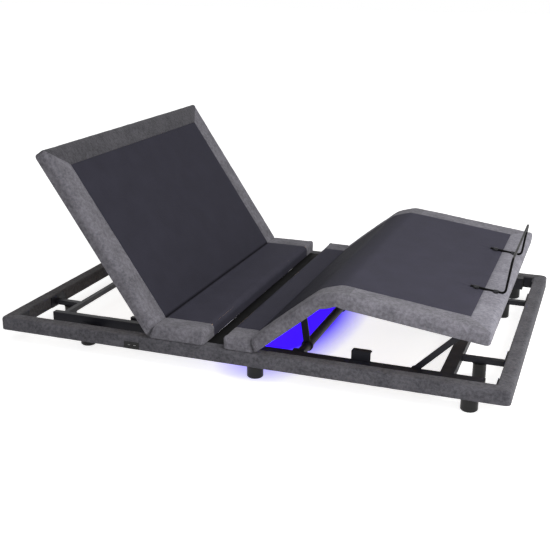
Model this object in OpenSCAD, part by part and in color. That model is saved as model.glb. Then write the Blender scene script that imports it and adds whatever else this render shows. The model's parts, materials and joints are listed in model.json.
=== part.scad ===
// Adjustable bed base: an upholstered rail frame on short legs that carries a
// five-part upholstered deck. The back part and the first seat part ride on a
// sliding carriage, so that the seat opens towards the head end as the back rises.
// X runs along the bed with the foot end at +X, Y across it, Z up from the floor.

/* [Base frame] */
// Length over the upholstered rails
base_l = 2032; // [1800:10:2200]
// Width over the upholstered rails
base_w = 1372; // [1300:10:1560]
// Width of an upholstered rail
rail_w = 56; // [50:1:70]
// Height of an upholstered rail
rail_h = 54; // [50:1:64]
// Radius of the upholstered edges of the rails
rail_edge_r = 10; // [6:1:14]
// Height of the legs
leg_h = 55; // [50:1:90]
// Diameter of the outer legs
leg_d = 62; // [50:1:70]
// Diameter of the inner legs
inner_leg_d = 50; // [40:1:56]

/* [Deck] */
// Width of the deck
deck_w = 1356; // [1290:2:1540]
// Thickness of the deck at its edge
deck_t = 50; // [46:1:60]
// Running clearance between the deck and the rails
deck_gap = 0.6; // [0.4:0.1:2]
// Thickness of the deck boards
board_t = 12; // [10:1:14]
// Width of the timber rims below the boards
rim_w = 28; // [22:1:34]
// Thickness of the fabric and foam cover
cover_t = 4; // [3:0.5:5]
// Thickness of the foam on the sides of the deck
side_foam = 10; // [9:0.5:14]
// Radius of the upholstered edges of the deck
edge_r = 20; // [14:1:21]
// Width of the border on both sides of the black panels
side_margin = 110; // [90:1:130]
// Width of the border at the two ends of the deck
end_margin = 90; // [70:1:110]

/* [Deck parts] */
// Place of the hinge line between the back and the seat
back_x = -330; // [-345:1:-325]
// Length of the back part
back_l = 788; // [740:1:820]
// Length of the first seat part, which slides
seat_a_l = 211; // [205:1:216]
// Opening between the two seat parts with the back raised
seat_gap = 76; // [74:1:90]
// Length of the second seat part, which is fixed
seat_b_l = 113; // [105:1:125]
// Length of the thigh part between its hinge lines
thigh_l = 308; // [302:1:314]
// Length of the knee part between its hinge lines
knee_l = 74; // [68:1:80]
// Length of the calf part, from its hinge line to the foot edge
calf_l = 550; // [535:1:556]

/* [Pose] */
// Angle of the back above flat, as drawn
back_rest = 56; // [50:1:60]
// Angle of the thigh part above flat, as drawn
thigh_rest = 39.5; // [36:0.5:41]
// Slope of the calf part down to the foot, as drawn
calf_rest = 7.4; // [6:0.1:9]

/* [Steel frame] */
// Wall thickness of the steel tubes and channels
wall = 3; // [2:0.5:4]
// Height of the steel side members
side_h = 52; // [48:1:52]
// Width of the side tubes in the foot half
side_tube_w = 39; // [34:1:44]
// Distance of the head channels from the middle of the bed, to their webs
channel_y = 550; // [545:1:556]
// Width of the head channels
channel_w = 25; // [24:1:30]
// Length of the head channels past the head cross tube
channel_over = 4; // [2:1:10]
// Width of the centre beam
beam_w = 87; // [70:1:87]
// Height of the centre beam
beam_h = 42; // [36:1:44]
// Width of the foot cross tube
foot_cross_w = 50; // [40:1:60]
// Height of the foot cross tube
foot_cross_h = 30; // [26:1:34]
// Width of the head cross tube and the ties
tie_w = 25; // [20:1:30]
// Height of the head cross tube and the ties
tie_h = 20; // [16:1:24]
// Distance of the ties from the middle of the bed
tie_y = 352; // [300:1:400]
// Length of the ties from the foot cross tube to the foot rail
foot_tie_l = 164; // [154:1:170]
// Length of the ties from the head cross tube to the head rail
head_tie_l = 110; // [100:1:114]

/* [Lift mechanism] */
// Outside diameter of the lift tubes
lift_tube_d = 34; // [32:1:38]
// Diameter of the lift tube journals
journal_d = 20; // [16:1:24]
// Length of the lift arms of the back
back_arm = 150; // [146:1:154]
// Length of the lift arms of the thigh part
thigh_arm = 140; // [136:1:144]
// Diameter of the lift rollers
roller_d = 40; // [34:1:44]
// Width of the lift rollers
roller_w = 28; // [20:1:32]
// Thickness of the lift arms
arm_t = 8; // [6:1:10]
// Diameter of the pins that carry rollers and links
pin_d = 12; // [10:1:12]
// Length of the crank levers
crank_r = 50; // [48:1:54]
// Diameter of the actuator rods
rod_d = 18; // [14:1:20]
// Diameter of the actuator tubes
ram_d = 32; // [28:1:34]

/* [Hinges and retainer] */
// Diameter of the hinge barrels
barrel_d = 12; // [10:0.5:12]
// Diameter of the hinge pins
hinge_pin_d = 6; // [5:0.5:7]
// Thickness of the hinge leaves
leaf_t = 2.5; // [2:0.5:3]
// Width of a hinge
hinge_w = 80; // [60:1:100]
// Length of a hinge leaf
leaf_l = 40; // [30:1:41]
// Diameter of the mattress retainer bar
bar_d = 9; // [8:0.5:12]
// Width of the mattress retainer
retainer_w = 536; // [400:2:640]
// Height of the mattress retainer above the deck
retainer_h = 140; // [90:1:160]
// Length of the retainer arms along the deck
retainer_arm = 130; // [110:1:150]

/* [Hidden] */
$fn = 48;
eps = 0.5;

// Colours
suede = [0.40, 0.39, 0.41];
black_cloth = [0.16, 0.16, 0.18];
timber = [0.72, 0.58, 0.42];
black_steel = [0.10, 0.10, 0.12];
zinc = [0.62, 0.63, 0.65];
nylon = [0.85, 0.85, 0.82];
black_plastic = [0.07, 0.07, 0.08];
led_violet = [0.35, 0.15, 1.0];

// Levels
rail_z = leg_h;
rail_top = rail_z + rail_h;
deck_bottom = rail_top + deck_gap;
deck_top = deck_bottom + deck_t;
board_drop = cover_t + board_t;
board_under = deck_top - board_drop;
side_top = rail_z + side_h;

// Half widths
half_w = base_w / 2;
rail_in = half_w - rail_w;
tube_in = rail_in - side_tube_w;
deck_half = deck_w / 2;
rim_in = deck_half - side_foam - rim_w;
frame_half = base_l / 2 - rail_w;
foot_cross_x = frame_half - foot_tie_l - foot_cross_w;
head_cross_x = head_tie_l + tie_h - frame_half;

// Hinge lines. A hinge that closes on top has its barrel inside the board, one
// that closes below has its barrel under the board.
top_axis = 8;
hinge_z = deck_top - top_axis;
knee_axis = board_drop + barrel_d / 2;
hinge_gap = 9;
crease_gap = 1.5;
cheek = hinge_gap - crease_gap;
knee_rim_gap = 8;
knee_rest = (thigh_rest - calf_rest) / 2;
hinge_inset = 153;
hinge_y = deck_half - hinge_inset;
hinge_places = [-hinge_y, 0, hinge_y];

// Deck part ends
seat_a_end = back_x + seat_a_l;
seat_b_x = seat_a_end + seat_gap;
thigh_x = seat_b_x + seat_b_l;

// Turn a point [x, z] upwards by an angle that lifts the +X side
function lift(p, a) = [p[0] * cos(a) - p[1] * sin(a), p[0] * sin(a) + p[1] * cos(a)];
function dist(p, q) = norm([q[0] - p[0], q[1] - p[1]]);
function bearing(p, q) = atan2(q[1] - p[1], q[0] - p[0]);

thigh_pivot = [thigh_x, hinge_z];
back_pivot = [back_x, hinge_z];
knee = thigh_pivot + lift([thigh_l, top_axis - knee_axis], thigh_rest);
calf_pivot = knee + lift([knee_l, 0], knee_rest);

// Place what is drawn flat about its hinge line at the drawn pose
module on_back() translate([back_pivot[0], 0, back_pivot[1]]) rotate([0, back_rest, 0]) children();
module on_thigh() translate([thigh_pivot[0], 0, thigh_pivot[1]]) rotate([0, -thigh_rest, 0]) children();
module on_knee() translate([knee[0], 0, knee[1]]) rotate([0, -knee_rest, 0]) children();
module on_calf() translate([calf_pivot[0], 0, calf_pivot[1]]) rotate([0, calf_rest, 0]) children();
module both_sides() { children(); mirror([0, 1, 0]) children(); }
module at(p, y = 0) translate([p[0], y, p[1]]) children();
// A cylinder along Y that starts at y0
module rod_y(d, y0, y1) translate([0, y1, 0]) rotate([90, 0, 0]) cylinder(d = d, h = y1 - y0);
// A flat drawn in X and Z that is given a thickness along Y
module plate_y(y0, t) translate([0, y0 + t, 0]) rotate([90, 0, 0]) linear_extrude(t) children();
// A rectangular tube between two corners, open along one axis (0 = X, 1 = Y)
module tube(p, s, axis) {
  inner = axis == 0 ? [s[0] + 2 * eps, s[1] - 2 * wall, s[2] - 2 * wall]
                    : [s[0] - 2 * wall, s[1] + 2 * eps, s[2] - 2 * wall];
  shift = axis == 0 ? [-eps, wall, wall] : [wall, -eps, wall];
  translate(p) difference() {
    cube(s);
    translate(shift) cube(inner);
  }
}
// A rectangle with two rounded upper corners
module round_top(w, h, r0, r1) {
  square([w / 2, h - r0]);
  translate([w / 2, 0]) square([w / 2, h - r1]);
  translate([r0, 0]) square([w - r0 - r1, h]);
  if (r0 > 0) translate([r0, h - r0]) circle(r0);
  if (r1 > 0) translate([w - r1, h - r1]) circle(r1);
}

// ---------------------------------------------------------------- rails
// An upholstered rail along X: rounded above, mitred at both ends
module rail_body(length, mitre) {
  intersection() {
    translate([-length / 2, 0, 0]) rotate([90, 0, 90])
      linear_extrude(length) round_top(rail_w, rail_h, rail_edge_r, rail_edge_r / 2);
    translate([0, 0, -eps]) linear_extrude(rail_h + 2 * eps)
      polygon([[-length / 2, 0], [length / 2, 0],
               [length / 2 - mitre, rail_w], [-length / 2 + mitre, rail_w]]);
  }
}
module side_rail() translate([0, -half_w, rail_z]) rail_body(base_l, rail_w);
module end_rail() translate([base_l / 2, 0, rail_z]) rotate([0, 0, 90]) rail_body(base_w, rail_w);
module head_rail() color(suede) mirror([1, 0, 0]) end_rail();
module foot_rail() color(suede) end_rail();
// The right rail has a pocket for the power outlets
module right_rail() color(suede) difference() {
  side_rail();
  at_usb() translate([-usb_w / 2, -eps, -usb_h / 2]) cube([usb_w, usb_d + eps, usb_h]);
}
module left_rail() color(suede) mirror([0, 1, 0]) side_rail();

// Angle plates that join the rails at the four inner corners
plate_t = 4;
plate_l = 60;
module corner_plate() {
  x1 = base_l / 2 - rail_w;
  h = rail_h - 2 * plate_t;
  translate([x1 - plate_t, rail_in - plate_l, rail_z + plate_t]) cube([plate_t, plate_l, h]);
  translate([x1 - corner_leg, rail_in - plate_t, rail_z + plate_t]) cube([corner_leg, plate_t, h]);
}
corner_leg = 42;
module rail_corner_plates() color(black_steel)
  both_sides() { corner_plate(); mirror([1, 0, 0]) corner_plate(); }

// ---------------------------------------------------------------- legs
outer_leg_y = rail_in + 6;
head_leg_inset = 283;
mid_leg_off = 3;
foot_leg_inset = 88;
inner_leg_inset = 97;
head_inner_leg_inset = 65;
head_leg = [head_leg_inset - frame_half, channel_y + 24];
mid_leg = [thigh_x + mid_leg_off, outer_leg_y];
foot_leg = [frame_half - foot_leg_inset, outer_leg_y];
inner_leg_x = frame_half - inner_leg_inset;
head_inner_leg_x = head_inner_leg_inset - frame_half;
foot_pad_h = 4;
// A round leg with a chamfered foot and a mounting flange
module leg(d, h) {
  translate([0, 0, foot_pad_h]) cylinder(d = d, h = h - foot_pad_h);
  cylinder(d1 = d - 2 * foot_pad_h, d2 = d, h = foot_pad_h);
}
module side_legs() for (p = [head_leg, mid_leg, foot_leg])
  translate([p[0], -p[1], 0]) leg(leg_d, leg_h);
module outer_legs() color(black_plastic) both_sides() side_legs();
flange_t = 3;
flange_over = 3;
module inner_legs() color(black_plastic)
  for (x = [head_inner_leg_x, inner_leg_x], s = [-1, 1])
    translate([x, s * tie_y, 0]) {
      leg(inner_leg_d, tie_z - flange_t);
      translate([0, 0, tie_z - flange_t]) cylinder(d = inner_leg_d + flange_over, h = flange_t);
    }

// ---------------------------------------------------------------- steel frame
beam_foot = seat_b_x + 6;
beam_head = beam_foot - beam_w;
beam_top = rail_top - 1;
beam_z = beam_top - beam_h;
tie_z = rail_z + 8;
tie_top = tie_z + tie_h;
foot_cross_z = rail_z - 5;
channel_head = head_cross_x - tie_h - channel_over;
channel_l = beam_head - channel_head;
side_tube_short = 47;
side_tube_end = frame_half - side_tube_short;
cap_t = 3;

// Channels that open inwards and carry the wheels of the carriage
module head_channels() color(black_steel) both_sides() {
  translate([channel_head, -channel_y, rail_z]) difference() {
    cube([channel_l, channel_w, side_h - 1]);
    translate([-eps, wall, wall])
      cube([channel_l + 2 * eps, channel_w, side_h - 1 - 2 * wall]);
  }
  channel_brackets();
}
module foot_side_tubes() color(black_steel) both_sides() {
  tube([beam_foot, -rail_in, rail_z], [side_tube_end - beam_foot, side_tube_w, side_h], 0);
  at(link_base) {
    rod_y(pin_d, -tube_in - eps, -link_y + link_t + 4);
    rod_y(pin_d + 8, -link_y + link_t + 1, -link_y + link_t + 4);
    rod_y(pin_d + 8, -tube_in - eps, -link_y - 1);
  }
}
module tube_end_caps() color(black_plastic) both_sides()
  translate([side_tube_end, -rail_in, rail_z]) cube([cap_t, side_tube_w, side_h]);
module centre_beam() color(black_steel) {
  tube([beam_head, -rail_in, beam_z], [beam_w, 2 * rail_in, beam_h], 1);
  both_sides() translate([head_motor_pivot[0] - lug_d / 2, lug_half + 1, head_motor_pivot[1] - lug_d / 2])
    cube([lug_d, clevis_t, beam_z - head_motor_pivot[1] + lug_d / 2]);
  at(head_motor_pivot) rod_y(clevis_pin_d, -lug_half - clevis_t - 3, lug_half + clevis_t + 3);
}

// Welded cross frames: a cross tube and two ties out to the end rail
tie_plate_w = 100;
module tie(x0, x1) {
  translate([x0, -tie_y - tie_w / 2, tie_z]) cube([x1 - x0, tie_w, tie_h]);
}
module tie_plate(x) translate([x, -tie_y - tie_plate_w / 2, rail_z + 2])
  cube([plate_t, tie_plate_w, rail_h - 8]);
module head_cross_frame() color(black_steel) {
  x_in = -base_l / 2 + rail_w;
  translate([head_cross_x - tie_h, -channel_y + wall, tie_z])
    cube([tie_h, 2 * (channel_y - wall), tie_h]);
  both_sides() {
    tie(x_in, head_cross_x - tie_h);
    tie_plate(x_in);
  }
}
module foot_cross_frame() color(black_steel) {
  x_out = base_l / 2 - rail_w;
  translate([foot_cross_x, -tube_in, foot_cross_z])
    cube([foot_cross_w, 2 * tube_in, foot_cross_h]);
  both_sides() {
    tie(foot_cross_x + foot_cross_w, x_out);
    tie_plate(x_out - plate_t);
    translate([foot_motor_pivot[0] - lug_d / 2, lug_half + 1, foot_cross_z + 1])
      cube([foot_cross_x - foot_motor_pivot[0] + lug_d / 2, clevis_t, foot_cross_h - 2]);
  }
  at(foot_motor_pivot) rod_y(clevis_pin_d, -lug_half - clevis_t - 3, lug_half + clevis_t + 3);
}
// Trays from the webs of the channels to the side rails. The legs stand below
// the first pair.
bracket_off = 90;
bracket_places = [head_leg[0], back_x + bracket_off];
bracket_w = 76;
bracket_up = 26;
module channel_brackets()
  for (x = bracket_places) translate([x - bracket_w / 2, -rail_in, rail_z]) {
    cube([bracket_w, rail_in - channel_y, plate_t]);
    cube([bracket_w, plate_t, bracket_up]);
    translate([0, rail_in - channel_y - plate_t, 0]) cube([bracket_w, plate_t, bracket_up]);
  }

// Brackets on the side tubes that carry the flat deck, with rubber pads
rest_off = 361;
rest_x = thigh_x + rest_off;
rest_clear = 49;
rest_y = min(tube_in, rim_in - rest_clear);
rest_foot = 22;
rest_w = 72;
rest_pad_t = 3;
rest_top = board_under - rest_pad_t - deck_gap;
rest_sheet = 3;
rest_flange = 26;
module rest_brackets() color(black_steel) both_sides() {
  rest_pad();
  translate([rest_x, -rest_y, 0]) {
    translate([0, rest_y - tube_in - rest_foot, side_top])
      cube([rest_w, tube_in + rest_foot - rest_y, rest_sheet]);
    translate([0, -rest_sheet, side_top]) cube([rest_w, rest_sheet, rest_top - side_top]);
    translate([0, -rest_sheet, rest_top - rest_sheet]) cube([rest_w, rest_flange, rest_sheet]);
  }
}
module rest_pad()
  translate([rest_x + 4, -rest_y - rest_sheet + 2, rest_top])
    cube([rest_w - 8, rest_flange - 4, rest_pad_t]);

// ---------------------------------------------------------------- electrics
usb_x = -420;
usb_w = 64;
usb_h = 28;
usb_d = 24;
port_w = 13;
port_h = 5.6;
port_d = 14;
port_pitch = 24;
module at_usb() translate([usb_x, -half_w, rail_z + rail_h / 2 - 11]) children();
// Outlet block with two charging sockets, flush in the rail
module usb_module() color(black_plastic) at_usb() difference() {
  translate([-usb_w / 2, 0, -usb_h / 2]) cube([usb_w, usb_d, usb_h]);
  for (s = [-1, 1])
    translate([s * port_pitch / 2 - port_w / 2, -eps, -port_h / 2])
      cube([port_w, port_d + eps, port_h]);
}
led_w = 10;
led_t = 3;
led_l = 1000;
module led_strip() color(led_violet)
  translate([beam_foot - led_w - 4, -led_l / 2, beam_z - led_t]) cube([led_w, led_l, led_t]);
box_l = 150;
box_w = 130;
box_h = 34;
box_y = 70;
inlet_w = 22;
inlet_h = 16;
inlet_d = 14;
// Control box against the foot cross tube, with the power inlet in its end
module control_box() color(black_plastic)
  translate([foot_cross_x - box_l, box_y, foot_cross_z]) difference() {
    cube([box_l, box_w, box_h]);
    translate([-eps, box_w / 2 - inlet_w / 2, box_h / 2 - inlet_h / 2]) cube([inlet_d + eps, inlet_w, inlet_h]);
  }

// ---------------------------------------------------------------- deck parts
// The outer form of a deck part from x0 to x1, with its top at z = top. The ends
// are rounded where r0 and r1 are above zero.
module slab(x0, x1, top, r0, r1) intersection() {
  translate([x0, -deck_half, top - deck_t]) rotate([90, 0, 90])
    linear_extrude(x1 - x0) round_top(deck_w, deck_t, edge_r, edge_r);
  translate([x0, deck_half, top - deck_t]) rotate([90, 0, 0])
    linear_extrude(deck_w) round_top(x1 - x0, deck_t, r0, r1);
}
// The timber inside a deck part: a board with rims below it. e0 and e1 say which
// ends are closed, c0 and c1 cut the rims back from an end.
module tray(x0, x1, top, e0, e1, c0 = 0, c1 = 0) {
  a = x0 + (e0 ? side_foam : 0);
  b = x1 - (e1 ? side_foam : 0);
  w = deck_half - side_foam;
  rim_h = deck_t - board_drop;
  translate([a, -w, top - board_drop]) cube([b - a, 2 * w, board_t]);
  both_sides() translate([a + c0, -w, top - deck_t]) cube([b - a - c0 - c1, rim_w, rim_h]);
  if (e0) translate([a, -w, top - deck_t]) cube([rim_w, 2 * w, rim_h]);
  if (e1) translate([b - rim_w, -w, top - deck_t]) cube([rim_w, 2 * w, rim_h]);
}
// The space that a tray takes in its cover
module tray_space(x0, x1, top, e0, e1) {
  a = e0 ? x0 + side_foam : x0 - eps;
  b = e1 ? x1 - side_foam : x1 + eps;
  w = deck_half - side_foam;
  translate([a, -w, top - deck_t - eps]) cube([b - a, 2 * w, deck_t - cover_t + eps]);
}
// The space of the black centre panel. m0 and m1 say at which ends a border stays.
module panel_zone(x0, x1, top, m0, m1) {
  a = m0 ? x0 + end_margin : x0 - eps;
  b = m1 ? x1 - end_margin : x1 + eps;
  w = deck_half - side_margin;
  translate([a, -w, top - deck_t - eps]) cube([b - a, 2 * w, deck_t + 2 * eps]);
}
// The panel follows the outer form, so at an end without a border it turns down
module panel(x0, x1, top, e0, e1, r0, r1, m0, m1) difference() {
  intersection() {
    slab(x0, x1, top, r0, r1);
    panel_zone(x0, x1, top, m0, m1);
  }
  tray_space(x0, x1, top, e0, e1);
}
module border(x0, x1, top, e0, e1, r0, r1, m0, m1, c0 = 0, c1 = 0) {
  difference() {
    slab(x0, x1, top, r0, r1);
    tray_space(x0, x1, top, e0, e1);
    panel_zone(x0, x1, top, m0, m1);
  }
  // Cheeks that carry the side skin on towards a crease below the board
  skin_h = deck_t - board_drop;
  if (c0 > 0) both_sides() translate([x0 - c0, -deck_half, top - deck_t]) cube([c0 + eps, side_foam, skin_h]);
  if (c1 > 0) both_sides() translate([x1 - eps, -deck_half, top - deck_t]) cube([c1 + eps, side_foam, skin_h]);
}

// Hinges. A leaf runs to +X from the hinge line, k picks its barrel segments.
knuckle = hinge_w / 3;
knuckle_gap = 0.5;
leaf_start = barrel_d / 2;
hinge_bore = hinge_pin_d + 0.4;
module leaf(plate_z, k, l = leaf_l) {
  web_z = plate_z < 0 ? -barrel_d / 2 : plate_z;
  translate([leaf_start, -hinge_w / 2, plate_z]) cube([l, hinge_w, leaf_t]);
  if (plate_z < 0) translate([leaf_start, -hinge_w / 2, plate_z])
    cube([leaf_t, hinge_w, leaf_t + web_z - plate_z]);
  for (i = k) {
    y0 = -hinge_w / 2 + i * knuckle + knuckle_gap;
    y1 = -hinge_w / 2 + (i + 1) * knuckle - knuckle_gap;
    rod_y(barrel_d, y0, y1);
    translate([0, y0, web_z]) cube([leaf_start + leaf_t, y1 - y0, leaf_t]);
  }
}
module bored_leaf(plate_z, k, l = leaf_l) difference() {
  leaf(plate_z, k, l);
  rod_y(hinge_bore, -hinge_w, hinge_w);
}
outer_knuckles = [0, 2];
inner_knuckle = [1];
module hinge_pin() rod_y(hinge_pin_d, -hinge_w / 2, hinge_w / 2);
top_leaf_z = top_axis - board_drop - leaf_t;
knee_leaf_z = knee_axis - board_drop - leaf_t;

// ---------------------------------------------------------------- fixed seat part
nose_r = 18;
module seat_b_board() color(timber)
  tray(seat_b_x, thigh_x - hinge_gap, deck_top, true, false, 0, -cheek);
module seat_b_border() color(suede)
  border(seat_b_x, thigh_x - hinge_gap, deck_top, true, false, nose_r, 0, false, false, 0, cheek);
module seat_b_panel() color(black_cloth)
  panel(seat_b_x, thigh_x - hinge_gap, deck_top, true, false, nose_r, 0, false, false);
seat_b_rim_end = seat_b_x + side_foam + rim_w;
bracket_y = 40;
bracket_top_l = 44;
bracket_inset = 258;
bracket_far = deck_half - bracket_inset;
module seat_b_brackets() color(black_steel) for (y = [-1, -1 / 3, 1 / 3, 1] * bracket_far)
  translate([beam_foot, y - bracket_y / 2, 0]) {
    x = seat_b_rim_end - beam_foot + 0.5;
    z = beam_z + 6;
    translate([0, 0, z]) cube([x + plate_t, bracket_y, plate_t]);
    translate([x, 0, z]) cube([plate_t, bracket_y, board_under - z]);
    translate([x, 0, board_under - plate_t]) cube([bracket_top_l, bracket_y, plate_t]);
  }
module seat_b_hinges() color(zinc) for (y = hinge_places) at(thigh_pivot, y) {
  mirror([1, 0, 0]) leaf(top_leaf_z, outer_knuckles);
  hinge_pin();
}

// ---------------------------------------------------------------- carriage
bar_t = 12;
bar_y = channel_y - channel_w - 8;
bar_z = rail_z + 13;
bar_h = 30;
bar_head = -640;
bar_past_hinge = 125;
bar_foot = back_x + bar_past_hinge;
wheel_d = side_h - 1 - 2 * wall - 1;
wheel_w = 18;
wheel_z = rail_z + wall + 0.3 + wheel_d / 2;
wheel_y = channel_y - wall - wheel_w - 1;
axle_d = 12;
front_wheel_x = bar_foot - 24;
rear_wheel_in = 26;
rear_wheel_x = bar_head + rear_wheel_in;
cross_w = 25;
cross_first = 48;
cross_second = 98;
cross_places = [back_x + cross_first, back_x + cross_second];
module carriage_side_bars() color(black_steel) both_sides() difference() {
  translate([bar_head, -bar_y, bar_z]) cube([bar_foot - bar_head, bar_t, bar_h]);
  for (x = [front_wheel_x, rear_wheel_x])
    at([x, wheel_z]) rod_y(axle_d + 0.6, -bar_y - eps, -bar_y + bar_t + eps);
}
module carriage_cross_tubes() color(black_steel) for (x = cross_places)
  tube([x, -bar_y, bar_z + bar_h], [cross_w, 2 * bar_y, board_under - bar_z - bar_h], 1);
// A pair of wheels with their stub axles
module wheel_pair(x) both_sides() at([x, wheel_z]) {
  rod_y(wheel_d, -wheel_y - wheel_w, -wheel_y);
  rod_y(axle_d, -wheel_y, -bar_y + bar_t + 4);
  rod_y(axle_d + 8, -bar_y + bar_t + 1, -bar_y + bar_t + 5);
}
module carriage_front_wheels() color(nylon) wheel_pair(front_wheel_x);
module carriage_rear_wheels() color(nylon) wheel_pair(rear_wheel_x);
module seat_a_board() color(timber)
  tray(back_x + hinge_gap, seat_a_end, deck_top, false, true, -cheek, 0);
module seat_a_border() color(suede)
  border(back_x + hinge_gap, seat_a_end, deck_top, false, true, 0, edge_r, false, false, cheek, 0);
module seat_a_panel() color(black_cloth)
  panel(back_x + hinge_gap, seat_a_end, deck_top, false, true, 0, edge_r, false, false);
module seat_a_hinges() color(zinc) for (y = hinge_places) at(back_pivot, y) {
  leaf(top_leaf_z, outer_knuckles);
  hinge_pin();
}

// ---------------------------------------------------------------- back part
module back_board() color(timber) on_back()
  tray(-back_l, -hinge_gap, top_axis, true, false, 0, -cheek);
module back_border() color(suede) on_back()
  border(-back_l, -hinge_gap, top_axis, true, false, edge_r, 0, true, false, 0, cheek);
module back_panel() color(black_cloth) on_back()
  panel(-back_l, -hinge_gap, top_axis, true, false, edge_r, 0, true, false);
module back_hinge_leaves() color(zinc) on_back() for (y = hinge_places)
  translate([0, y, 0]) mirror([1, 0, 0]) bored_leaf(top_leaf_z, inner_knuckle);

// ---------------------------------------------------------------- thigh part
knee_top = knee_axis;
module thigh_board() color(timber) on_thigh() difference() {
  tray(hinge_gap, thigh_l - 2, top_axis, false, false, -cheek, knee_rim_gap);
  knee_notches(thigh_l, top_axis - knee_axis);
}
module thigh_border() color(suede) on_thigh() difference() {
  border(hinge_gap, thigh_l - 1, top_axis, false, false, 0, 0, false, false, cheek, 0);
  knee_rim_cut(thigh_l, -1, top_axis);
}
module thigh_panel() color(black_cloth) on_thigh()
  panel(hinge_gap, thigh_l - 1, top_axis, false, false, 0, 0, false, false);
module thigh_hinge_leaves() color(zinc) on_thigh() for (y = hinge_places) {
  translate([0, y, 0]) bored_leaf(top_leaf_z, inner_knuckle);
  translate([thigh_l, y, top_axis - knee_axis]) {
    mirror([1, 0, 0]) leaf(knee_leaf_z, outer_knuckles);
    hinge_pin();
  }
}
// Room for the knee barrels in the board ends
module knee_notches(x, z) for (y = hinge_places)
  translate([x, y, z]) rod_y(barrel_d + 2, -hinge_w / 2 - 2, hinge_w / 2 + 2);
// Room below the knee, where the two covers close towards each other
module knee_rim_cut(x, side, top)
  translate([x - (side < 0 ? knee_rim_gap : 0), -deck_w, top - deck_t - eps])
    cube([knee_rim_gap, 2 * deck_w, deck_t - board_drop + eps]);

// ---------------------------------------------------------------- knee part
knee_leaf_l = 24;
module knee_board() color(timber) on_knee() difference() {
  tray(2, knee_l - 2, knee_top, false, false, knee_rim_gap, knee_rim_gap);
  knee_notches(0, 0);
  knee_notches(knee_l, 0);
}
module knee_border() color(suede) on_knee() difference() {
  border(1, knee_l - 1, knee_top, false, false, 0, 0, false, false);
  knee_rim_cut(0, 1, knee_top);
  knee_rim_cut(knee_l, -1, knee_top);
}
module knee_panel() color(black_cloth) on_knee()
  panel(1, knee_l - 1, knee_top, false, false, 0, 0, false, false);
module knee_hinge_leaves() color(zinc) on_knee() for (y = hinge_places) {
  translate([0, y, 0]) bored_leaf(knee_leaf_z, inner_knuckle, knee_leaf_l);
  translate([knee_l, y, 0]) {
    mirror([1, 0, 0]) leaf(knee_leaf_z, outer_knuckles, knee_leaf_l);
    hinge_pin();
  }
}

// ---------------------------------------------------------------- calf part
module calf_board() color(timber) on_calf() difference() {
  tray(2, calf_l, knee_top, false, true, knee_rim_gap, 0);
  knee_notches(0, 0);
}
module calf_border() color(suede) on_calf() difference() {
  border(1, calf_l, knee_top, false, true, 0, edge_r, false, true);
  knee_rim_cut(0, 1, knee_top);
}
module calf_panel() color(black_cloth) on_calf()
  panel(1, calf_l, knee_top, false, true, 0, edge_r, false, true);
module calf_hinge_leaves() color(zinc) on_calf() for (y = hinge_places)
  translate([0, y, 0]) bored_leaf(knee_leaf_z, inner_knuckle);

// Mattress retainer: one bent round bar that stands on two arms
bar_x = calf_l - 11;
bend_r = 16;
module bar_corner(a) rotate_extrude(angle = a) translate([bend_r, 0]) circle(d = bar_d);
module retainer_bar() color(black_steel) on_calf() translate([0, 0, knee_top + bar_d / 2 + 0.3]) {
  top_z = retainer_h - bar_d / 2;
  half = retainer_w / 2;
  both_sides() {
    translate([bar_x - retainer_arm, -half, 0]) rotate([0, 90, 0])
      cylinder(d = bar_d, h = retainer_arm - bend_r);
    translate([bar_x - bend_r, -half, bend_r]) rotate([90, 0, 0]) rotate([0, 0, -90]) bar_corner(90);
    translate([bar_x, -half, bend_r]) cylinder(d = bar_d, h = top_z - 2 * bend_r);
    translate([bar_x, -half + bend_r, top_z - bend_r]) rotate([90, 0, 90]) rotate([0, 0, 90]) bar_corner(90);
  }
  translate([bar_x, 0, top_z]) rod_y(bar_d, -half + bend_r, half - bend_r);
}
// Saddle clamps with two screws each that hold the arms down on the deck
clamp_l = 18;
clamp_w = 34;
clamp_t = 2.5;
screw_d = 9;
module clamp_outline() {
  r = bar_d / 2;
  difference() {
    union() {
      translate([-clamp_w / 2, 0]) square([clamp_w, clamp_t]);
      translate([0, r + 0.3]) circle(r + clamp_t);
    }
    translate([0, r + 0.3]) circle(r + 0.4);
    translate([-r - 0.4, -clamp_w]) square([2 * r + 0.8, clamp_w + r + 0.3]);
    translate([-clamp_w, -clamp_w]) square([2 * clamp_w, clamp_w]);
  }
}
module clamp() {
  translate([-clamp_l / 2, 0, knee_top]) rotate([90, 0, 90]) linear_extrude(clamp_l) clamp_outline();
  for (s = [-1, 1]) translate([0, s * 12.5, knee_top + clamp_t - 0.2]) cylinder(d = screw_d - 1, h = 2.4);
}
clamp_places = [22, 96];
module retainer_clamps() color(zinc) on_calf() for (x = clamp_places, s = [-1, 1])
  translate([bar_x - retainer_arm + x, s * retainer_w / 2, 0]) clamp();

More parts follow.
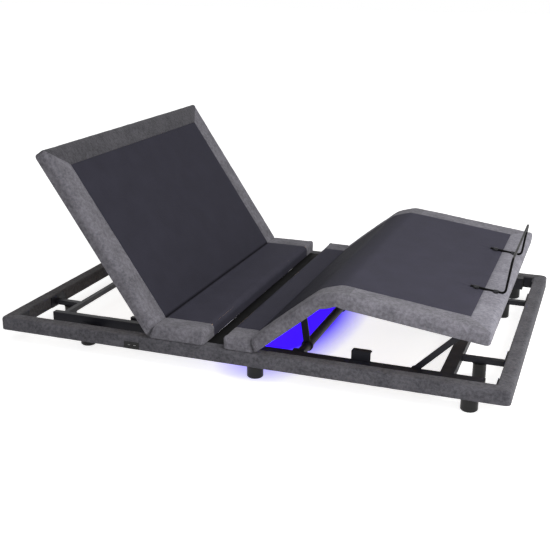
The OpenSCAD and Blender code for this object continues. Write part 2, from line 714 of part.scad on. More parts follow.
// ---------------------------------------------------------------- calf links
link_t = 8;
link_side = 3;
link_clear = 52;
link_y = min(tube_in - link_side, rim_in - link_clear);
link_r = 14;
link_pin_d = 10;
link_off = 594;
link_base = [thigh_x + link_off, side_top - 9];
lug_x = 459;
lug_w = 52;
lug_foot = 26;
lug_z = -26;
lug_t = 6;
lug_gap = 2;
slot_l = 22;
slot_h = 15;
link_top = calf_pivot + lift([lug_x, lug_z], -calf_rest);
link_l = dist(link_base, link_top);
link_a = bearing(link_base, link_top);
module link_outline() {
  circle(link_r);
  translate([link_l, 0]) circle(link_r);
  translate([0, -link_r + 3]) square([link_l, 2 * (link_r - 3)]);
}
module calf_links() color(black_steel) both_sides() {
  at(link_base) rotate([0, -link_a, 0]) {
    difference() {
      plate_y(-link_y, link_t) link_outline();
      rod_y(pin_d + 0.6, -link_y - eps, -link_y + link_t + eps);
    }
    translate([link_l, 0, 0]) rod_y(link_pin_d, -link_y + link_t - eps, -link_y + link_t + lug_gap + lug_t + 6);
  }
}
// Slotted lugs below the calf board that take the link pins
module lug_outline() difference() {
  union() {
    translate([lug_x - lug_w / 2, lug_z - 6]) square([lug_w, knee_axis - board_drop - lug_z + 6]);
    translate([lug_x - 12, lug_z - 6]) circle(14);
    translate([lug_x + 12, lug_z - 6]) circle(14);
    translate([lug_x - 12, lug_z - 20]) square([24, 20]);
  }
  hull_slot();
}
module hull_slot() translate([lug_x, lug_z]) {
  translate([-(slot_l - slot_h) / 2 - 2, 0]) circle(d = slot_h);
  translate([(slot_l - slot_h) / 2 - 2, 0]) circle(d = slot_h);
  translate([-(slot_l - slot_h) / 2 - 2, -slot_h / 2]) square([slot_l - slot_h, slot_h]);
}
module calf_link_lugs() color(black_steel) both_sides() on_calf() {
  y0 = -link_y + link_t + lug_gap;
  plate_y(y0, lug_t) lug_outline();
  translate([lug_x - lug_w / 2, y0, knee_axis - board_drop - plate_t]) cube([lug_w, lug_foot, plate_t]);
}

// ---------------------------------------------------------------- lift tubes
lift_up = 33;
lift_z = rail_z + lift_up;
lift_gap = 0.8;
arm_y = 490;
head_lift_off = 167.4;
foot_lift_off = 157.1;
head_lift_pivot = [back_x - head_lift_off, lift_z];
foot_lift_pivot = [thigh_x + foot_lift_off, lift_z];
// Angle of an arm whose roller touches the underside of a raised board. The
// underside lies below its hinge line, and n is the direction it faces away from.
roller_drop = board_drop - top_axis + roller_d / 2 + lift_gap;
function reach(p, c, n) = -roller_drop - (p[0] - c[0]) * cos(n) - (p[1] - c[1]) * sin(n);
back_normal = 90 - back_rest;
thigh_normal = 90 + thigh_rest;
back_arm_a = back_normal + acos(reach(head_lift_pivot, back_pivot, back_normal) / back_arm);
thigh_arm_a = thigh_normal - acos(reach(foot_lift_pivot, thigh_pivot, thigh_normal) / thigh_arm);
back_crank_a = 211;
thigh_crank_a = 120;
bearing_w = 18;
bearing_h = 44;
arm_outer = 484;
crank_half = 12;
crank_t = 8;
crank_tip = 14;
crank_sag = 7;

module arm_outline(l, r0, r1) {
  circle(r0);
  translate([l, 0]) circle(r1);
  translate([0, -r1]) square([l, 2 * r1]);
}
// Lift tube with journals, two arms and the roller pins, arms drawn along +X
module lift_tube(half, arm_l) {
  rod_y(lift_tube_d, -half, half);
  both_sides() {
    rod_y(journal_d, -half - bearing_w + 1, -half + eps);
    plate_y(-arm_outer, arm_t) arm_outline(arm_l, lift_tube_d / 2 + 6, 13);
    translate([arm_l, 0, 0]) {
      rod_y(pin_d, -arm_outer + arm_t - eps, -arm_outer + arm_t + roller_w + 5);
      rod_y(pin_d + 6, -arm_outer + arm_t + roller_w + 2, -arm_outer + arm_t + roller_w + 5);
    }
  }
}
// Two crank cheeks on the lift tube that the rod end pushes between
module crank() both_sides() {
  plate_y(crank_half, crank_t) arm_outline(crank_r, lift_tube_d / 2 + 6, crank_tip);
  translate([crank_r, 0, 0]) rod_y(pin_d + 4, crank_half + crank_t - eps, crank_half + crank_t + 4);
}
module rollers(arm_l) both_sides() translate([arm_l, 0, 0]) difference() {
  rod_y(roller_d, -arm_outer + arm_t + 1, -arm_outer + arm_t + 1 + roller_w);
  rod_y(pin_d + 0.6, -arm_outer, 0);
}
// A pair of bearing blocks against faces at y = -face and y = face
module bearings(face) both_sides() difference() {
  translate([-bearing_h / 2, -face, -bearing_h / 2]) cube([bearing_h, bearing_w, bearing_h]);
  rod_y(journal_d + 0.6, -face - eps, -face + bearing_w + eps);
}
bar_inner = bar_y - bar_t;
module head_lift_bearings() color(black_plastic) at(head_lift_pivot) bearings(bar_inner);
module foot_lift_bearings() color(black_plastic) at(foot_lift_pivot) bearings(tube_in);
module head_lift_tube() color(zinc) at(head_lift_pivot) {
  rotate([0, -back_arm_a, 0]) lift_tube(bar_inner - bearing_w - 1, back_arm);
  rotate([0, -back_crank_a, 0]) crank();
}
module foot_lift_tube() color(zinc) at(foot_lift_pivot) {
  rotate([0, -thigh_arm_a, 0]) lift_tube(tube_in - bearing_w - 1, thigh_arm);
  rotate([0, -thigh_crank_a, 0]) crank();
}
module head_lift_rollers() color(nylon) at(head_lift_pivot) rotate([0, -back_arm_a, 0]) rollers(back_arm);
module foot_lift_rollers() color(nylon) at(foot_lift_pivot) rotate([0, -thigh_arm_a, 0]) rollers(thigh_arm);

// ---------------------------------------------------------------- actuators
head_motor_pivot = [beam_foot - 32, beam_z - 24];
foot_motor_pivot = [foot_cross_x - 21, foot_cross_z + foot_cross_h / 2];
head_rod_pin = head_lift_pivot + lift([crank_r, 0], back_crank_a) - [0, crank_sag];
foot_rod_pin = foot_lift_pivot + lift([crank_r, 0], thigh_crank_a);
head_rod_l = dist(head_motor_pivot, head_rod_pin);
foot_rod_l = dist(foot_motor_pivot, foot_rod_pin);
head_rod_a = bearing(head_motor_pivot, head_rod_pin);
foot_rod_a = bearing(foot_motor_pivot, foot_rod_pin);
head_rod_reach = 140.4;
foot_rod_reach = 128.9;
head_tube_l = head_motor_pivot[0] - head_lift_pivot[0] - head_rod_reach;
foot_tube_l = foot_cross_x - foot_lift_pivot[0] - foot_rod_reach;
lug_half = 8;
lug_d = 28;
clevis_t = 6;
clevis_pin_d = 10;
gear_x = 84;
gear_l = 62;
gear_h = 50;
motor_d = 44;
motor_l = 96;
rod_inside = 50;
rod_bore_x = 72;
motor_y = ram_d / 2 + motor_d / 2 + 2;
// Motor, gear housing and outer tube of an actuator, drawn along +X
module motor_unit(tube_l) {
  difference() {
    union() {
      rod_y(lug_d, -lug_half, lug_half);
      rotate([0, 90, 0]) cylinder(d = ram_d, h = tube_l);
      translate([gear_x, -ram_d / 2 - 4, -gear_h / 2]) cube([gear_l, motor_y + motor_d / 2 + ram_d / 2 + 4, gear_h]);
    }
    translate([rod_bore_x, 0, 0]) rotate([0, 90, 0]) cylinder(d = rod_d + 1, h = tube_l);
    rod_y(clevis_pin_d + 0.6, -ram_d, ram_d);
    for (s = [-1, 1]) translate([-ram_d, s < 0 ? -ram_d : lug_half, -ram_d])
      cube([2 * ram_d - 8, ram_d - lug_half, 2 * ram_d]);
  }
  translate([gear_x + gear_l - eps, motor_y, 0]) rotate([0, 90, 0]) cylinder(d = motor_d, h = motor_l);
  translate([gear_x + gear_l + motor_l - 2 * eps, motor_y, 0]) rotate([0, 90, 0])
    cylinder(d = motor_d - 12, h = 6);
}
// The sliding rod with its push head, drawn along +X from the motor pivot
module push_rod(tube_l, l) {
  translate([tube_l - rod_inside, 0, 0]) rotate([0, 90, 0]) cylinder(d = rod_d, h = l - tube_l + rod_inside);
  translate([l, 0, 0]) rod_y(lug_d - 2, -crank_half + 2, crank_half - 2);
}
module head_actuator_motor() color(black_plastic) at(head_motor_pivot) rotate([0, -head_rod_a, 0])
  motor_unit(head_tube_l);
module foot_actuator_motor() color(black_plastic) at(foot_motor_pivot) rotate([0, -foot_rod_a, 0])
  motor_unit(foot_tube_l);
module head_actuator_rod() color(zinc) at(head_motor_pivot) rotate([0, -head_rod_a, 0])
  push_rod(head_tube_l, head_rod_l);
module foot_actuator_rod() color(zinc) at(foot_motor_pivot) rotate([0, -foot_rod_a, 0])
  push_rod(foot_tube_l, foot_rod_l);

// ---------------------------------------------------------------- assembly
head_rail();
foot_rail();
right_rail();
left_rail();
rail_corner_plates();
outer_legs();
inner_legs();
head_channels();
foot_side_tubes();
tube_end_caps();
centre_beam();
head_cross_frame();
foot_cross_frame();
rest_brackets();
usb_module();
led_strip();
control_box();
foot_lift_bearings();
seat_b_board();
seat_b_border();
seat_b_panel();
seat_b_brackets();
seat_b_hinges();
carriage_side_bars();
carriage_cross_tubes();
head_lift_bearings();
seat_a_board();
seat_a_border();
seat_a_panel();
seat_a_hinges();
carriage_front_wheels();
carriage_rear_wheels();
back_board();
back_border();
back_panel();
back_hinge_leaves();
head_lift_tube();
head_lift_rollers();
head_actuator_motor();
head_actuator_rod();
thigh_board();
thigh_border();
thigh_panel();
thigh_hinge_leaves();
knee_board();
knee_border();
knee_panel();
knee_hinge_leaves();
calf_board();
calf_border();
calf_panel();
calf_hinge_leaves();
calf_link_lugs();
retainer_bar();
retainer_clamps();
calf_links();
foot_lift_tube();
foot_lift_rollers();
foot_actuator_motor();
foot_actuator_rod();
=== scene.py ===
import json
from math import sin, cos, tan, tanh, radians, pi, exp, atan2, hypot
import bpy
from mathutils import Vector, Matrix, noise


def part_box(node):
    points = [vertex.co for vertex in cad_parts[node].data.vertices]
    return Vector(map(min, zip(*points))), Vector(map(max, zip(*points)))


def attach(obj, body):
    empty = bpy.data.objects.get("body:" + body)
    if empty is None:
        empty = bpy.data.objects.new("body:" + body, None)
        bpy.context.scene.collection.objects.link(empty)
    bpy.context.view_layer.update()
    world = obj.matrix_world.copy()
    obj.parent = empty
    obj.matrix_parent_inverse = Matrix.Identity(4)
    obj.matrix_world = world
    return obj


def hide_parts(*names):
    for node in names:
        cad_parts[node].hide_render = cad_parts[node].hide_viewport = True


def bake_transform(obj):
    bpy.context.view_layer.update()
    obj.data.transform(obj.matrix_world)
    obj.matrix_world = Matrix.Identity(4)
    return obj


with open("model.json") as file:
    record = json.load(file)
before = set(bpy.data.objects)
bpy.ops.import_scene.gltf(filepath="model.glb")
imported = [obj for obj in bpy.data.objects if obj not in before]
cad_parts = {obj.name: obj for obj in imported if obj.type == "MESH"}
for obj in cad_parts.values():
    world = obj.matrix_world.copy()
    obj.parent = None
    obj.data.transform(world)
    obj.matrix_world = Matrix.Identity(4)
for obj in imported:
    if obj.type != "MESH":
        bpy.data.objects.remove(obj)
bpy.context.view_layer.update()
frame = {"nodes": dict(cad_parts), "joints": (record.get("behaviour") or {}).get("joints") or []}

# ---- sizes, in metres
deck_half = 0.678
deck_thick = 0.050
fold_radius = 0.020
plan_radius = 0.022
core_half = deck_half - plan_radius
panel_half = 0.568
end_border = 0.090
top_of_hinge = 0.008
top_of_knee = 0.022
crease_reach = 0.030
hem_radius = 0.003
hem_lip = 0.014
cloth_thick = 0.0014
back_length, seat_a_length, calf_length = 0.788, 0.211, 0.550
seat_b_start, thigh_length, knee_length = -0.113, 0.308, 0.074
back_tilt, thigh_tilt, calf_tilt = 56.0, -39.5, 7.4
knee_tilt = (thigh_tilt + calf_tilt) / 2
knee_turn = calf_tilt - knee_tilt
knee_radius = 0.200
seam_width, seam_depth = 0.0022, 0.0022
near_seam, off_seam = 0.0015, 0.0035
end_core, side_core = end_border - plan_radius, core_half - panel_half
mitre_size = 0.078
end_clearance = 0.0018
gather_depth = 0.0024
gather_pitch = 0.0058
corner_radius_cut = 0.010
corner_fullness = 0.07
hem_gap = 0.0002
hem_lift = 0.0003
border_give, panel_give = 0.0024, 0.0018
held_below = 0.00002
foam_moments = 20
foam_settings = {"vertex_group_mass": "sewn", "mass": 0.02, "quality": 6, "use_pressure": True,
                 "uniform_pressure_force": 4.0, "tension_stiffness": 18.0,
                 "compression_stiffness": 18.0, "shear_stiffness": 8.0, "bending_stiffness": 0.6,
                 "shrink_min": -0.006}
clamp_along, clamp_across = 0.425, 0.268
knee_run_in = 0.006
over_hinge = 0.022
knee_fullness, knee_padding = 0.0021, 0.0050
base_half_length, base_half_width = 1.016, 0.686
rail_half, rail_low, rail_high = 0.028, 0.055, 0.109
outer_round, inner_round, added_round = 0.020, 0.004, 0.016
pocket_low, pocket_high = 0.057, 0.085
pocket_ends, socket_places = (-0.452, -0.388), (-0.432, -0.408)
tube_inset, bolt_places = 0.039, (0.010, 0.180, 0.520, 0.850)

joints = {j["name"]: j for j in frame["joints"]}


def hinge_line(name):
    place = joints[name]["pos_m"]
    return place[0], place[2]


def tilted(pivot, tilt):
    """Turns lengths along and above a deck part into X and Z."""
    c, s = cos(radians(tilt)), sin(radians(tilt))
    return lambda along, above: (pivot[0] + along * c + above * s, pivot[1] - along * s + above * c)


back_line = hinge_line("back_hinge")
thigh_line = hinge_line("thigh_hinge")
on_back = tilted(back_line, back_tilt)
on_seat_a = tilted(back_line, 0)
on_seat_b = tilted(thigh_line, 0)
on_thigh = tilted(thigh_line, thigh_tilt)
on_knee = tilted(hinge_line("knee_hinge"), knee_tilt)
on_calf = tilted(hinge_line("calf_hinge"), calf_tilt)


# ---- shaping helpers
def steps(a, b, pitch):
    n = max(1, int(round(abs(b - a) / pitch)))
    return [a + (b - a) * i / n for i in range(n + 1)]


def smooth(x, a, b):
    t = min(1.0, max(0.0, (x - a) / (b - a)))
    return t * t * (3 - 2 * t)


def rumple(x, y, size, seed):
    return noise.noise(Vector((x / size, y / size, seed)))


def dent(distance, depth, width):
    return -depth * exp(-(distance / width) ** 2)


def over_edge(radius):
    """Length of cloth from the start of a rounded edge to the end of its hem."""
    flat, drop = plan_radius - radius, deck_thick - radius - hem_radius
    return flat + radius * pi / 2 + drop + hem_radius * pi / 2 + hem_lip


fold_length = over_edge(fold_radius)


def fold(run, radius=fold_radius):
    """Cover cloth running over a deck edge: outward, drop, and the direction it faces."""
    flat = plan_radius - radius
    run *= over_edge(radius) / fold_length
    if run <= flat:
        return run, 0.0, 0.0, 1.0
    run -= flat
    quarter = radius * pi / 2
    if run <= quarter:
        a = run / radius
        return flat + radius * sin(a), radius * (1 - cos(a)), sin(a), cos(a)
    run -= quarter
    drop = deck_thick - radius - hem_radius
    if run <= drop:
        return plan_radius, radius + run, 1.0, 0.0
    run -= drop
    hem = hem_radius * pi / 2
    if run <= hem:
        a = run / hem_radius
        return (plan_radius - hem_radius * (1 - cos(a)), deck_thick - hem_radius * (1 - sin(a)),
                cos(a), -sin(a))
    run -= hem
    return plan_radius - hem_radius - run, deck_thick + hem_gap, 0.0, -1.0


def fold_steps(start):
    """Places across the edge of a cover, closer together over the rounded edge."""
    flat = plan_radius - fold_radius
    arc = flat + fold_radius * pi / 2
    drop = arc + deck_thick - fold_radius - hem_radius
    hem = drop + hem_radius * pi / 2
    places = steps(start, flat, 0.006) + steps(flat, arc, 0.003)[1:] + steps(arc, drop, 0.0035)[1:]
    return places + steps(drop, hem, 0.0012)[1:] + steps(hem, fold_length, 0.005)[1:]


def flat_part(place, top, low_end=None, high_end=None):
    """The cover of a straight deck part; a closed end folds down like the sides."""
    def surface(along, across):
        over, way, core = 0.0, 0, along
        if low_end is not None and along < low_end + plan_radius:
            over, way, core = low_end + plan_radius - along, -1, low_end + plan_radius
        if high_end is not None and along > high_end - plan_radius:
            over, way, core = along - high_end + plan_radius, 1, high_end - plan_radius
        side = 1 if across >= 0 else -1
        beside = max(0.0, abs(across) - core_half)
        run = max(over, beside)
        if over == 0:
            a = pi / 2
        elif over >= beside:
            a = pi / 4 * beside / over
        else:
            a = pi / 2 - pi / 4 * over / beside
        ax, ay, corner = cos(a), sin(a), sin(2 * a) ** 2
        out, drop, facing, up = fold(run, fold_radius - corner_radius_cut * corner)
        out *= 1 + corner_fullness * corner
        y = side * min(abs(across), core_half) + (side * out * ay if beside else 0.0)
        u = core + way * out * ax

        def at(lift):
            lift = min(lift, hem_lift) if up < 0 else lift
            x, z = place(u + way * facing * ax * lift, top - drop + up * lift)
            return Vector((x, y + (side * facing * ay * lift if beside or over else 0.0), z))
        return at
    return surface


def bent_part(stations):
    """The cover of a part that bends: each station has its upper and its lower point."""
    def surface(index, across):
        (tx, tz), (bx, bz) = stations[int(index)][:2]
        depth = hypot(bx - tx, bz - tz)
        dx, dz = (bx - tx) / depth, (bz - tz) / depth
        side = 1 if across >= 0 else -1
        beside = max(0.0, abs(across) - core_half)
        out, drop, facing, up = fold(beside)
        y = side * (min(abs(across), core_half) + out)
        drop = drop * depth / deck_thick

        def at(lift):
            lift = min(lift, hem_lift) if up < 0 else lift
            under = drop - up * lift
            return Vector((tx + dx * under, y + side * facing * lift, tz + dz * under))
        return at
    return surface


unsettled = []


def cloth(name, alongs, acrosses, surface, relief, pattern=None, material=None, skip=None,
          give=None):
    """Sews a grid of cloth into a mesh. Its map coordinates are lengths on the cloth."""
    rows, columns = len(alongs), len(acrosses)
    points, marks = [], []
    for s in alongs:
        length = s if pattern is None else pattern(s)
        for t in acrosses:
            points.append(surface(s, t)(relief(length, t)))
            marks.append((length, t))
    faces = []
    for i in range(rows - 1):
        for j in range(columns - 1):
            if skip and skip((marks[i * columns + j][0] + marks[(i + 1) * columns + j][0]) / 2,
                             (acrosses[j] + acrosses[j + 1]) / 2):
                continue
            a = i * columns + j
            faces.append((a, a + columns, a + columns + 1, a + 1))
    used = sorted({v for face in faces for v in face})
    place = {v: k for k, v in enumerate(used)}
    points, marks = [points[v] for v in used], [marks[v] for v in used]
    faces = [tuple(place[v] for v in face) for face in faces]
    if give is None:
        return finish_mesh(name, points, faces, marks, material, cloth_thick)
    piece = finish_mesh(name, points, faces, marks, material)
    room = [give(s, t) for s, t in marks]
    held = [k for k, far in enumerate(room) if far < held_below]
    piece.vertex_groups.new(name="sewn").add(held, 1.0, "REPLACE")
    unsettled.append((piece, room))
    return piece


def past_mitre(length, across, seam, way):
    """How far a point lies past the corner seam, from the side border into the end border."""
    beyond, away = (length - seam) * way, abs(across) - panel_half
    if beyond > end_core or away > side_core:
        return (beyond - end_core) - (away - side_core)
    return (beyond / end_core - away / side_core) * mitre_size


def slack(opens, closed=None, seam=None, most=border_give):
    """How far the foam may lift the cloth: not at all at seams, hems and open ends."""
    hem_at = fold_length - hem_lip - hem_radius * pi / 2
    hem_reach, end_hold = 0.012, 0.65
    end_reach, open_reach, seam_reach = (0.012, 0.030), (0.003, 0.060), (0.001, 0.016)

    def give(s, t):
        over = (s - closed[0]) * closed[1] + plan_radius if closed else 0.0
        free = 1 - smooth(max(abs(t) - core_half, over), hem_at - hem_reach, hem_at)
        free *= 1 - end_hold * smooth(over, *end_reach)
        for end in opens:
            free *= smooth(abs(s - end), *open_reach)
        beside = gap = abs(abs(t) - panel_half)
        if seam is not None:
            beyond = (s - seam) * closed[1]
            if abs(t) <= panel_half:
                gap = abs(beyond) if beyond > 0 else min(beside, -beyond)
            elif beyond > 0:
                gap = min(hypot(beside, beyond), abs(past_mitre(s, t, seam, closed[1])))
        return most * free * smooth(gap, *seam_reach)
    return give


def settle_covers():
    """Foam pushes each cover out between its seams, no further than the cloth gives."""
    scene = bpy.context.scene
    for piece, room in unsettled:
        foam = piece.modifiers.new("foam", "CLOTH")
        for key, value in foam_settings.items():
            setattr(foam.settings, key, value)
        foam.settings.effector_weights.gravity = 0.0
        foam.collision_settings.use_collision = False
        foam.point_cache.frame_start, foam.point_cache.frame_end = 1, foam_moments
    for moment in range(1, foam_moments + 1):
        scene.frame_set(moment)
    graph = bpy.context.evaluated_depsgraph_get()
    for piece, room in unsettled:
        pushed = [point.co.copy() for point in piece.evaluated_get(graph).data.vertices]
        faces_out = [point.normal.copy() for point in piece.data.vertices]
        piece.modifiers.clear()
        for point, out, moved, most in zip(piece.data.vertices, faces_out, pushed, room):
            lift = (moved - point.co).dot(out)
            if most > 0 and lift > 0:
                point.co += out * (most * tanh(0.7 * lift / most))
    scene.frame_set(1)
    for piece, room in unsettled:
        piece.vertex_groups.clear()
        thicken(piece, False)


def thicken(piece, rim, thick=cloth_thick):
    shell = piece.modifiers.new("thickness", "SOLIDIFY")
    shell.thickness, shell.offset, shell.use_rim = thick, -1, rim
    apply_modifiers(piece)


def placed(name, data):
    piece = bpy.data.objects.new(name, data)
    bpy.context.scene.collection.objects.link(piece)
    return piece


def finish_mesh(name, points, faces, marks, material, thick=0.0, rim=False):
    mesh = bpy.data.meshes.new(name)
    mesh.from_pydata(points, [], faces)
    mesh.update()
    layer = mesh.uv_layers.new(name="cloth")
    for loop in mesh.loops:
        layer.data[loop.index].uv = marks[loop.vertex_index]
    mesh.polygons.foreach_set("use_smooth", [True] * len(mesh.polygons))
    mesh.materials.append(material)
    piece = placed(name, mesh)
    if thick:
        thicken(piece, rim, thick)
    return piece


def apply_modifiers(piece):
    bpy.context.view_layer.update()
    graph = bpy.context.evaluated_depsgraph_get()
    baked = bpy.data.meshes.new_from_object(piece.evaluated_get(graph))
    piece.modifiers.clear()
    piece.data = baked
    baked.polygons.foreach_set("use_smooth", [True] * len(baked.polygons))


# ---- material helpers
def feed(tree, node, values):
    """Sets a node's inputs; a value that is another node's output is linked."""
    for key, value in dict(values).items():
        if isinstance(value, bpy.types.NodeSocket):
            tree.links.new(value, node.inputs[key])
        else:
            node.inputs[key].default_value = value


def wired(tree, kind, values=(), **settings):
    node = tree.nodes.new("ShaderNode" + kind)
    for key, value in settings.items():
        setattr(node, key, value)
    feed(tree, node, values)
    return node


def effect(name, **inputs):
    """A group that takes a place on the surface and its own inputs, and gives the surface."""
    tree = bpy.data.node_groups.new(name, "ShaderNodeTree")
    add = tree.interface.new_socket
    add("Where", in_out="INPUT", socket_type="NodeSocketVector")
    for label, value in inputs.items():
        kind = "NodeSocketColor" if isinstance(value, tuple) else "NodeSocketFloat"
        add(label, in_out="INPUT", socket_type=kind).default_value = value
    add("Color", in_out="OUTPUT", socket_type="NodeSocketColor")
    for label in ("Height", "Roughness"):
        add(label, in_out="OUTPUT", socket_type="NodeSocketFloat")
    return tree, tree.nodes.new("NodeGroupInput").outputs, tree.nodes.new("NodeGroupOutput")


def number(tree, operation, a, b=0.5):
    return wired(tree, "Math", {0: a, 1: b}, operation=operation).outputs[0]


def weighed(tree, *parts, base=None):
    """Sum of values, each times its share, on top of a base."""
    total = base
    for value, share in parts:
        part = number(tree, "MULTIPLY", value, share)
        total = part if total is None else number(tree, "ADD", part, total)
    return total


def blended(tree, factor, a, b):
    return wired(tree, "Mix", {0: factor, 6: a, 7: b}, data_type="RGBA").outputs[2]


def spread(tree, value, low, high, first=0.0, last=1.0):
    """Moves a value's range from low and high to first and last."""
    values = {"Value": value, "From Min": low, "From Max": high, "To Min": first, "To Max": last}
    return wired(tree, "MapRange", values).outputs["Result"]


def speckle(tree, where, scale, detail=3.0, rough=0.55):
    values = {"Vector": where, "Scale": scale, "Detail": detail, "Roughness": rough}
    return wired(tree, "TexNoise", values).outputs["Fac"]


def bumped(tree, height, strength, distance):
    values = {"Height": height, "Strength": strength, "Distance": distance}
    return wired(tree, "Bump", values).outputs[0]


def split(tree, vector):
    return wired(tree, "SeparateXYZ", {0: vector}).outputs


def grey(level, blue=1.0):
    return (level, level, level * blue, 1)


def make_nap_group():
    """Brushed suede cloth: broad shading where the nap lies over, small mottles, fibres."""
    tree, given, out = effect("suede_nap", Shade=grey(0.1), Light=grey(0.2), Patch=13.0,
                              Mottle=72.0, Fibre=620.0)
    where = given["Where"]
    patch = spread(tree, speckle(tree, where, given["Patch"], 3.0), 0.36, 0.66)
    mottle = spread(tree, speckle(tree, where, given["Mottle"], 6.0, 0.70), 0.39, 0.61)
    fibre = speckle(tree, where, given["Fibre"], 2.0, 0.7)
    tone = weighed(tree, (patch, 0.32), (mottle, 0.50), (fibre, 0.18))
    feed(tree, out, {
        "Color": blended(tree, tone, given["Shade"], given["Light"]),
        "Height": weighed(tree, (mottle, 0.55), (fibre, 0.45)),
        "Roughness": weighed(tree, (mottle, 0.12), base=0.80)})
    return tree


def make_felt_group():
    """Spun cloth pressed with rows of small dots, with faint cloudy unevenness."""
    tree, given, out = effect("pressed_felt", Shade=grey(0.02), Light=grey(0.05), Dots=520.0,
                              Cloud=9.0)
    where = given["Where"]
    dots = wired(tree, "TexVoronoi", {"Vector": where, "Scale": given["Dots"], "Randomness": 0.25})
    pit = spread(tree, dots.outputs["Distance"], 0.10, 0.42)
    cloud = spread(tree, speckle(tree, where, given["Cloud"], 4.0), 0.30, 0.72)
    strand = speckle(tree, where, 1400.0, 2.0)
    tone = weighed(tree, (cloud, 0.26), (strand, 0.40), (pit, 0.28))
    feed(tree, out, {
        "Color": blended(tree, tone, given["Shade"], given["Light"]),
        "Height": weighed(tree, (pit, 0.6), (strand, 0.4)),
        "Roughness": weighed(tree, (cloud, 0.10), base=0.62)})
    return tree


def make_grain_group():
    """Fine even grain of powder coat and moulded plastic, with dust and handling marks."""
    tree, given, out = effect("fine_grain", Base=grey(0.02), Worn=grey(0.06), Grain=700.0,
                              Smudge=16.0, Gloss=0.42)
    where = given["Where"]
    grain = speckle(tree, where, given["Grain"], 2.0, 0.6)
    smudge = spread(tree, speckle(tree, where, given["Smudge"], 5.0, 0.6), 0.42, 0.74)
    wear = number(tree, "MULTIPLY", smudge, spread(tree, grain, 0.45, 0.65))
    worn = weighed(tree, (wear, 0.55))
    feed(tree, out, {
        "Color": blended(tree, worn, given["Base"], given["Worn"]), "Height": grain,
        "Roughness": weighed(tree, (smudge, 0.14), base=given["Gloss"])})
    return tree


nap_group, felt_group, grain_group = make_nap_group(), make_felt_group(), make_grain_group()


def new_material(name):
    material = bpy.data.materials.new(name)
    material.use_nodes = True
    tree = material.node_tree
    return material, tree, tree.nodes["Principled BSDF"]


def from_group(tree, shader, group, where, bump, distance, **values):
    node = wired(tree, "Group", node_tree=group)
    feed(tree, node, {"Where": where, **values})
    made = node.outputs
    feed(tree, shader, {"Base Color": made["Color"], "Roughness": made["Roughness"],
                        "Normal": bumped(tree, made["Height"], bump, distance)})
    return node


def on_cloth(tree):
    return tree.nodes.new("ShaderNodeUVMap").outputs[0]


def on_object(tree):
    return tree.nodes.new("ShaderNodeTexCoord").outputs["Object"]


def paint_crease_shade(tree, shader, node, inner, outer, depth):
    """Painted shade: the cloth's colour darkens along the line where it folds."""
    along = split(tree, on_cloth(tree))["X"]
    clear = spread(tree, number(tree, "ABSOLUTE", along), inner, outer)
    dark = wired(tree, "Mix", {0: 1.0, 6: node.outputs["Color"], 7: grey(depth)},
                 data_type="RGBA", blend_type="MULTIPLY").outputs[2]
    feed(tree, shader, {"Base Color": blended(tree, clear, dark, node.outputs["Color"])})


def retoned(tree, node, mask, tones):
    """Changes a finish from its own tones to these where the mask is one."""
    for label, tone in tones.items():
        own = tuple(node.inputs[label].default_value)
        feed(tree, node, {label: blended(tree, mask, own, tone)})


def mitred_shade(tree, node, seam, way, shade, light):
    """The end border's nap lies across the side borders', so its tone changes at the mitre; the end
    border also carries painted shade on the back and painted light on the calf.
    """
    place = split(tree, on_cloth(tree))
    beyond = number(tree, "MULTIPLY", number(tree, "SUBTRACT", place["X"], seam), way)
    away = number(tree, "SUBTRACT", number(tree, "ABSOLUTE", place["Y"]), panel_half)
    past_end = number(tree, "SUBTRACT", beyond, end_core)
    past_side = number(tree, "SUBTRACT", away, side_core)
    flat = number(tree, "SUBTRACT", number(tree, "DIVIDE", beyond, end_core),
                  number(tree, "DIVIDE", away, side_core))
    outside = number(tree, "GREATER_THAN", number(tree, "MAXIMUM", past_end, past_side), 0.0)
    line = wired(tree, "Mix", {0: outside, 2: weighed(tree, (flat, mitre_size)),
                               3: number(tree, "SUBTRACT", past_end, past_side)},
                 data_type="FLOAT").outputs[0]
    mask = spread(tree, line, -0.0008, 0.0008)
    retoned(tree, node, mask, {"Shade": shade, "Light": light})


def suede_material(name, shade, light, shaded_fold=False, end=None):
    material, tree, shader = new_material(name)
    node = from_group(tree, shader, nap_group, on_cloth(tree), 0.7, 0.0020,
                      Shade=shade, Light=light)
    if end:
        mitred_shade(tree, node, *end)
    if shaded_fold:
        paint_crease_shade(tree, shader, node, 0.0008, 0.0040, 0.42)
    feed(tree, shader, {"Sheen Weight": 0.12, "Sheen Roughness": 0.55, "Specular IOR Level": 0.15})
    return material


def felt_tones(level):
    """Black spun cloth; its level is painted light and shade, set for each piece as it lies."""
    tones = {"Shade": (0.025, 0.0243, 0.032), "Light": (0.054, 0.052, 0.071)}
    return {label: (*(part * level for part in tone), 1) for label, tone in tones.items()}


def felt_material(name, level, shaded_fold=None, light_grade=None):
    material, tree, shader = new_material(name)
    node = from_group(tree, shader, felt_group, on_cloth(tree), 0.6, 0.0006, **felt_tones(level))
    # The grade blends one level of painted light and shade into another along the cloth.
    if light_grade:
        start, end, other = light_grade
        mask = spread(tree, split(tree, on_cloth(tree))["X"], start, end)
        retoned(tree, node, mask, felt_tones(other))
    if shaded_fold:
        paint_crease_shade(tree, shader, node, *shaded_fold, 0.20)
    feed(tree, shader, {"Sheen Weight": 0.005, "Sheen Roughness": 0.45,
                        "Specular IOR Level": 0.02})
    return material


def grained_material(name, base, worn, gloss, grain=700.0, metal=0.0, dull=0.26):
    material, tree, shader = new_material(name)
    from_group(tree, shader, grain_group, on_object(tree), 0.25, 0.0003,
               Base=base, Worn=worn, Gloss=gloss, Grain=grain)
    feed(tree, shader, {"Metallic": metal, "Specular IOR Level": dull})
    return material


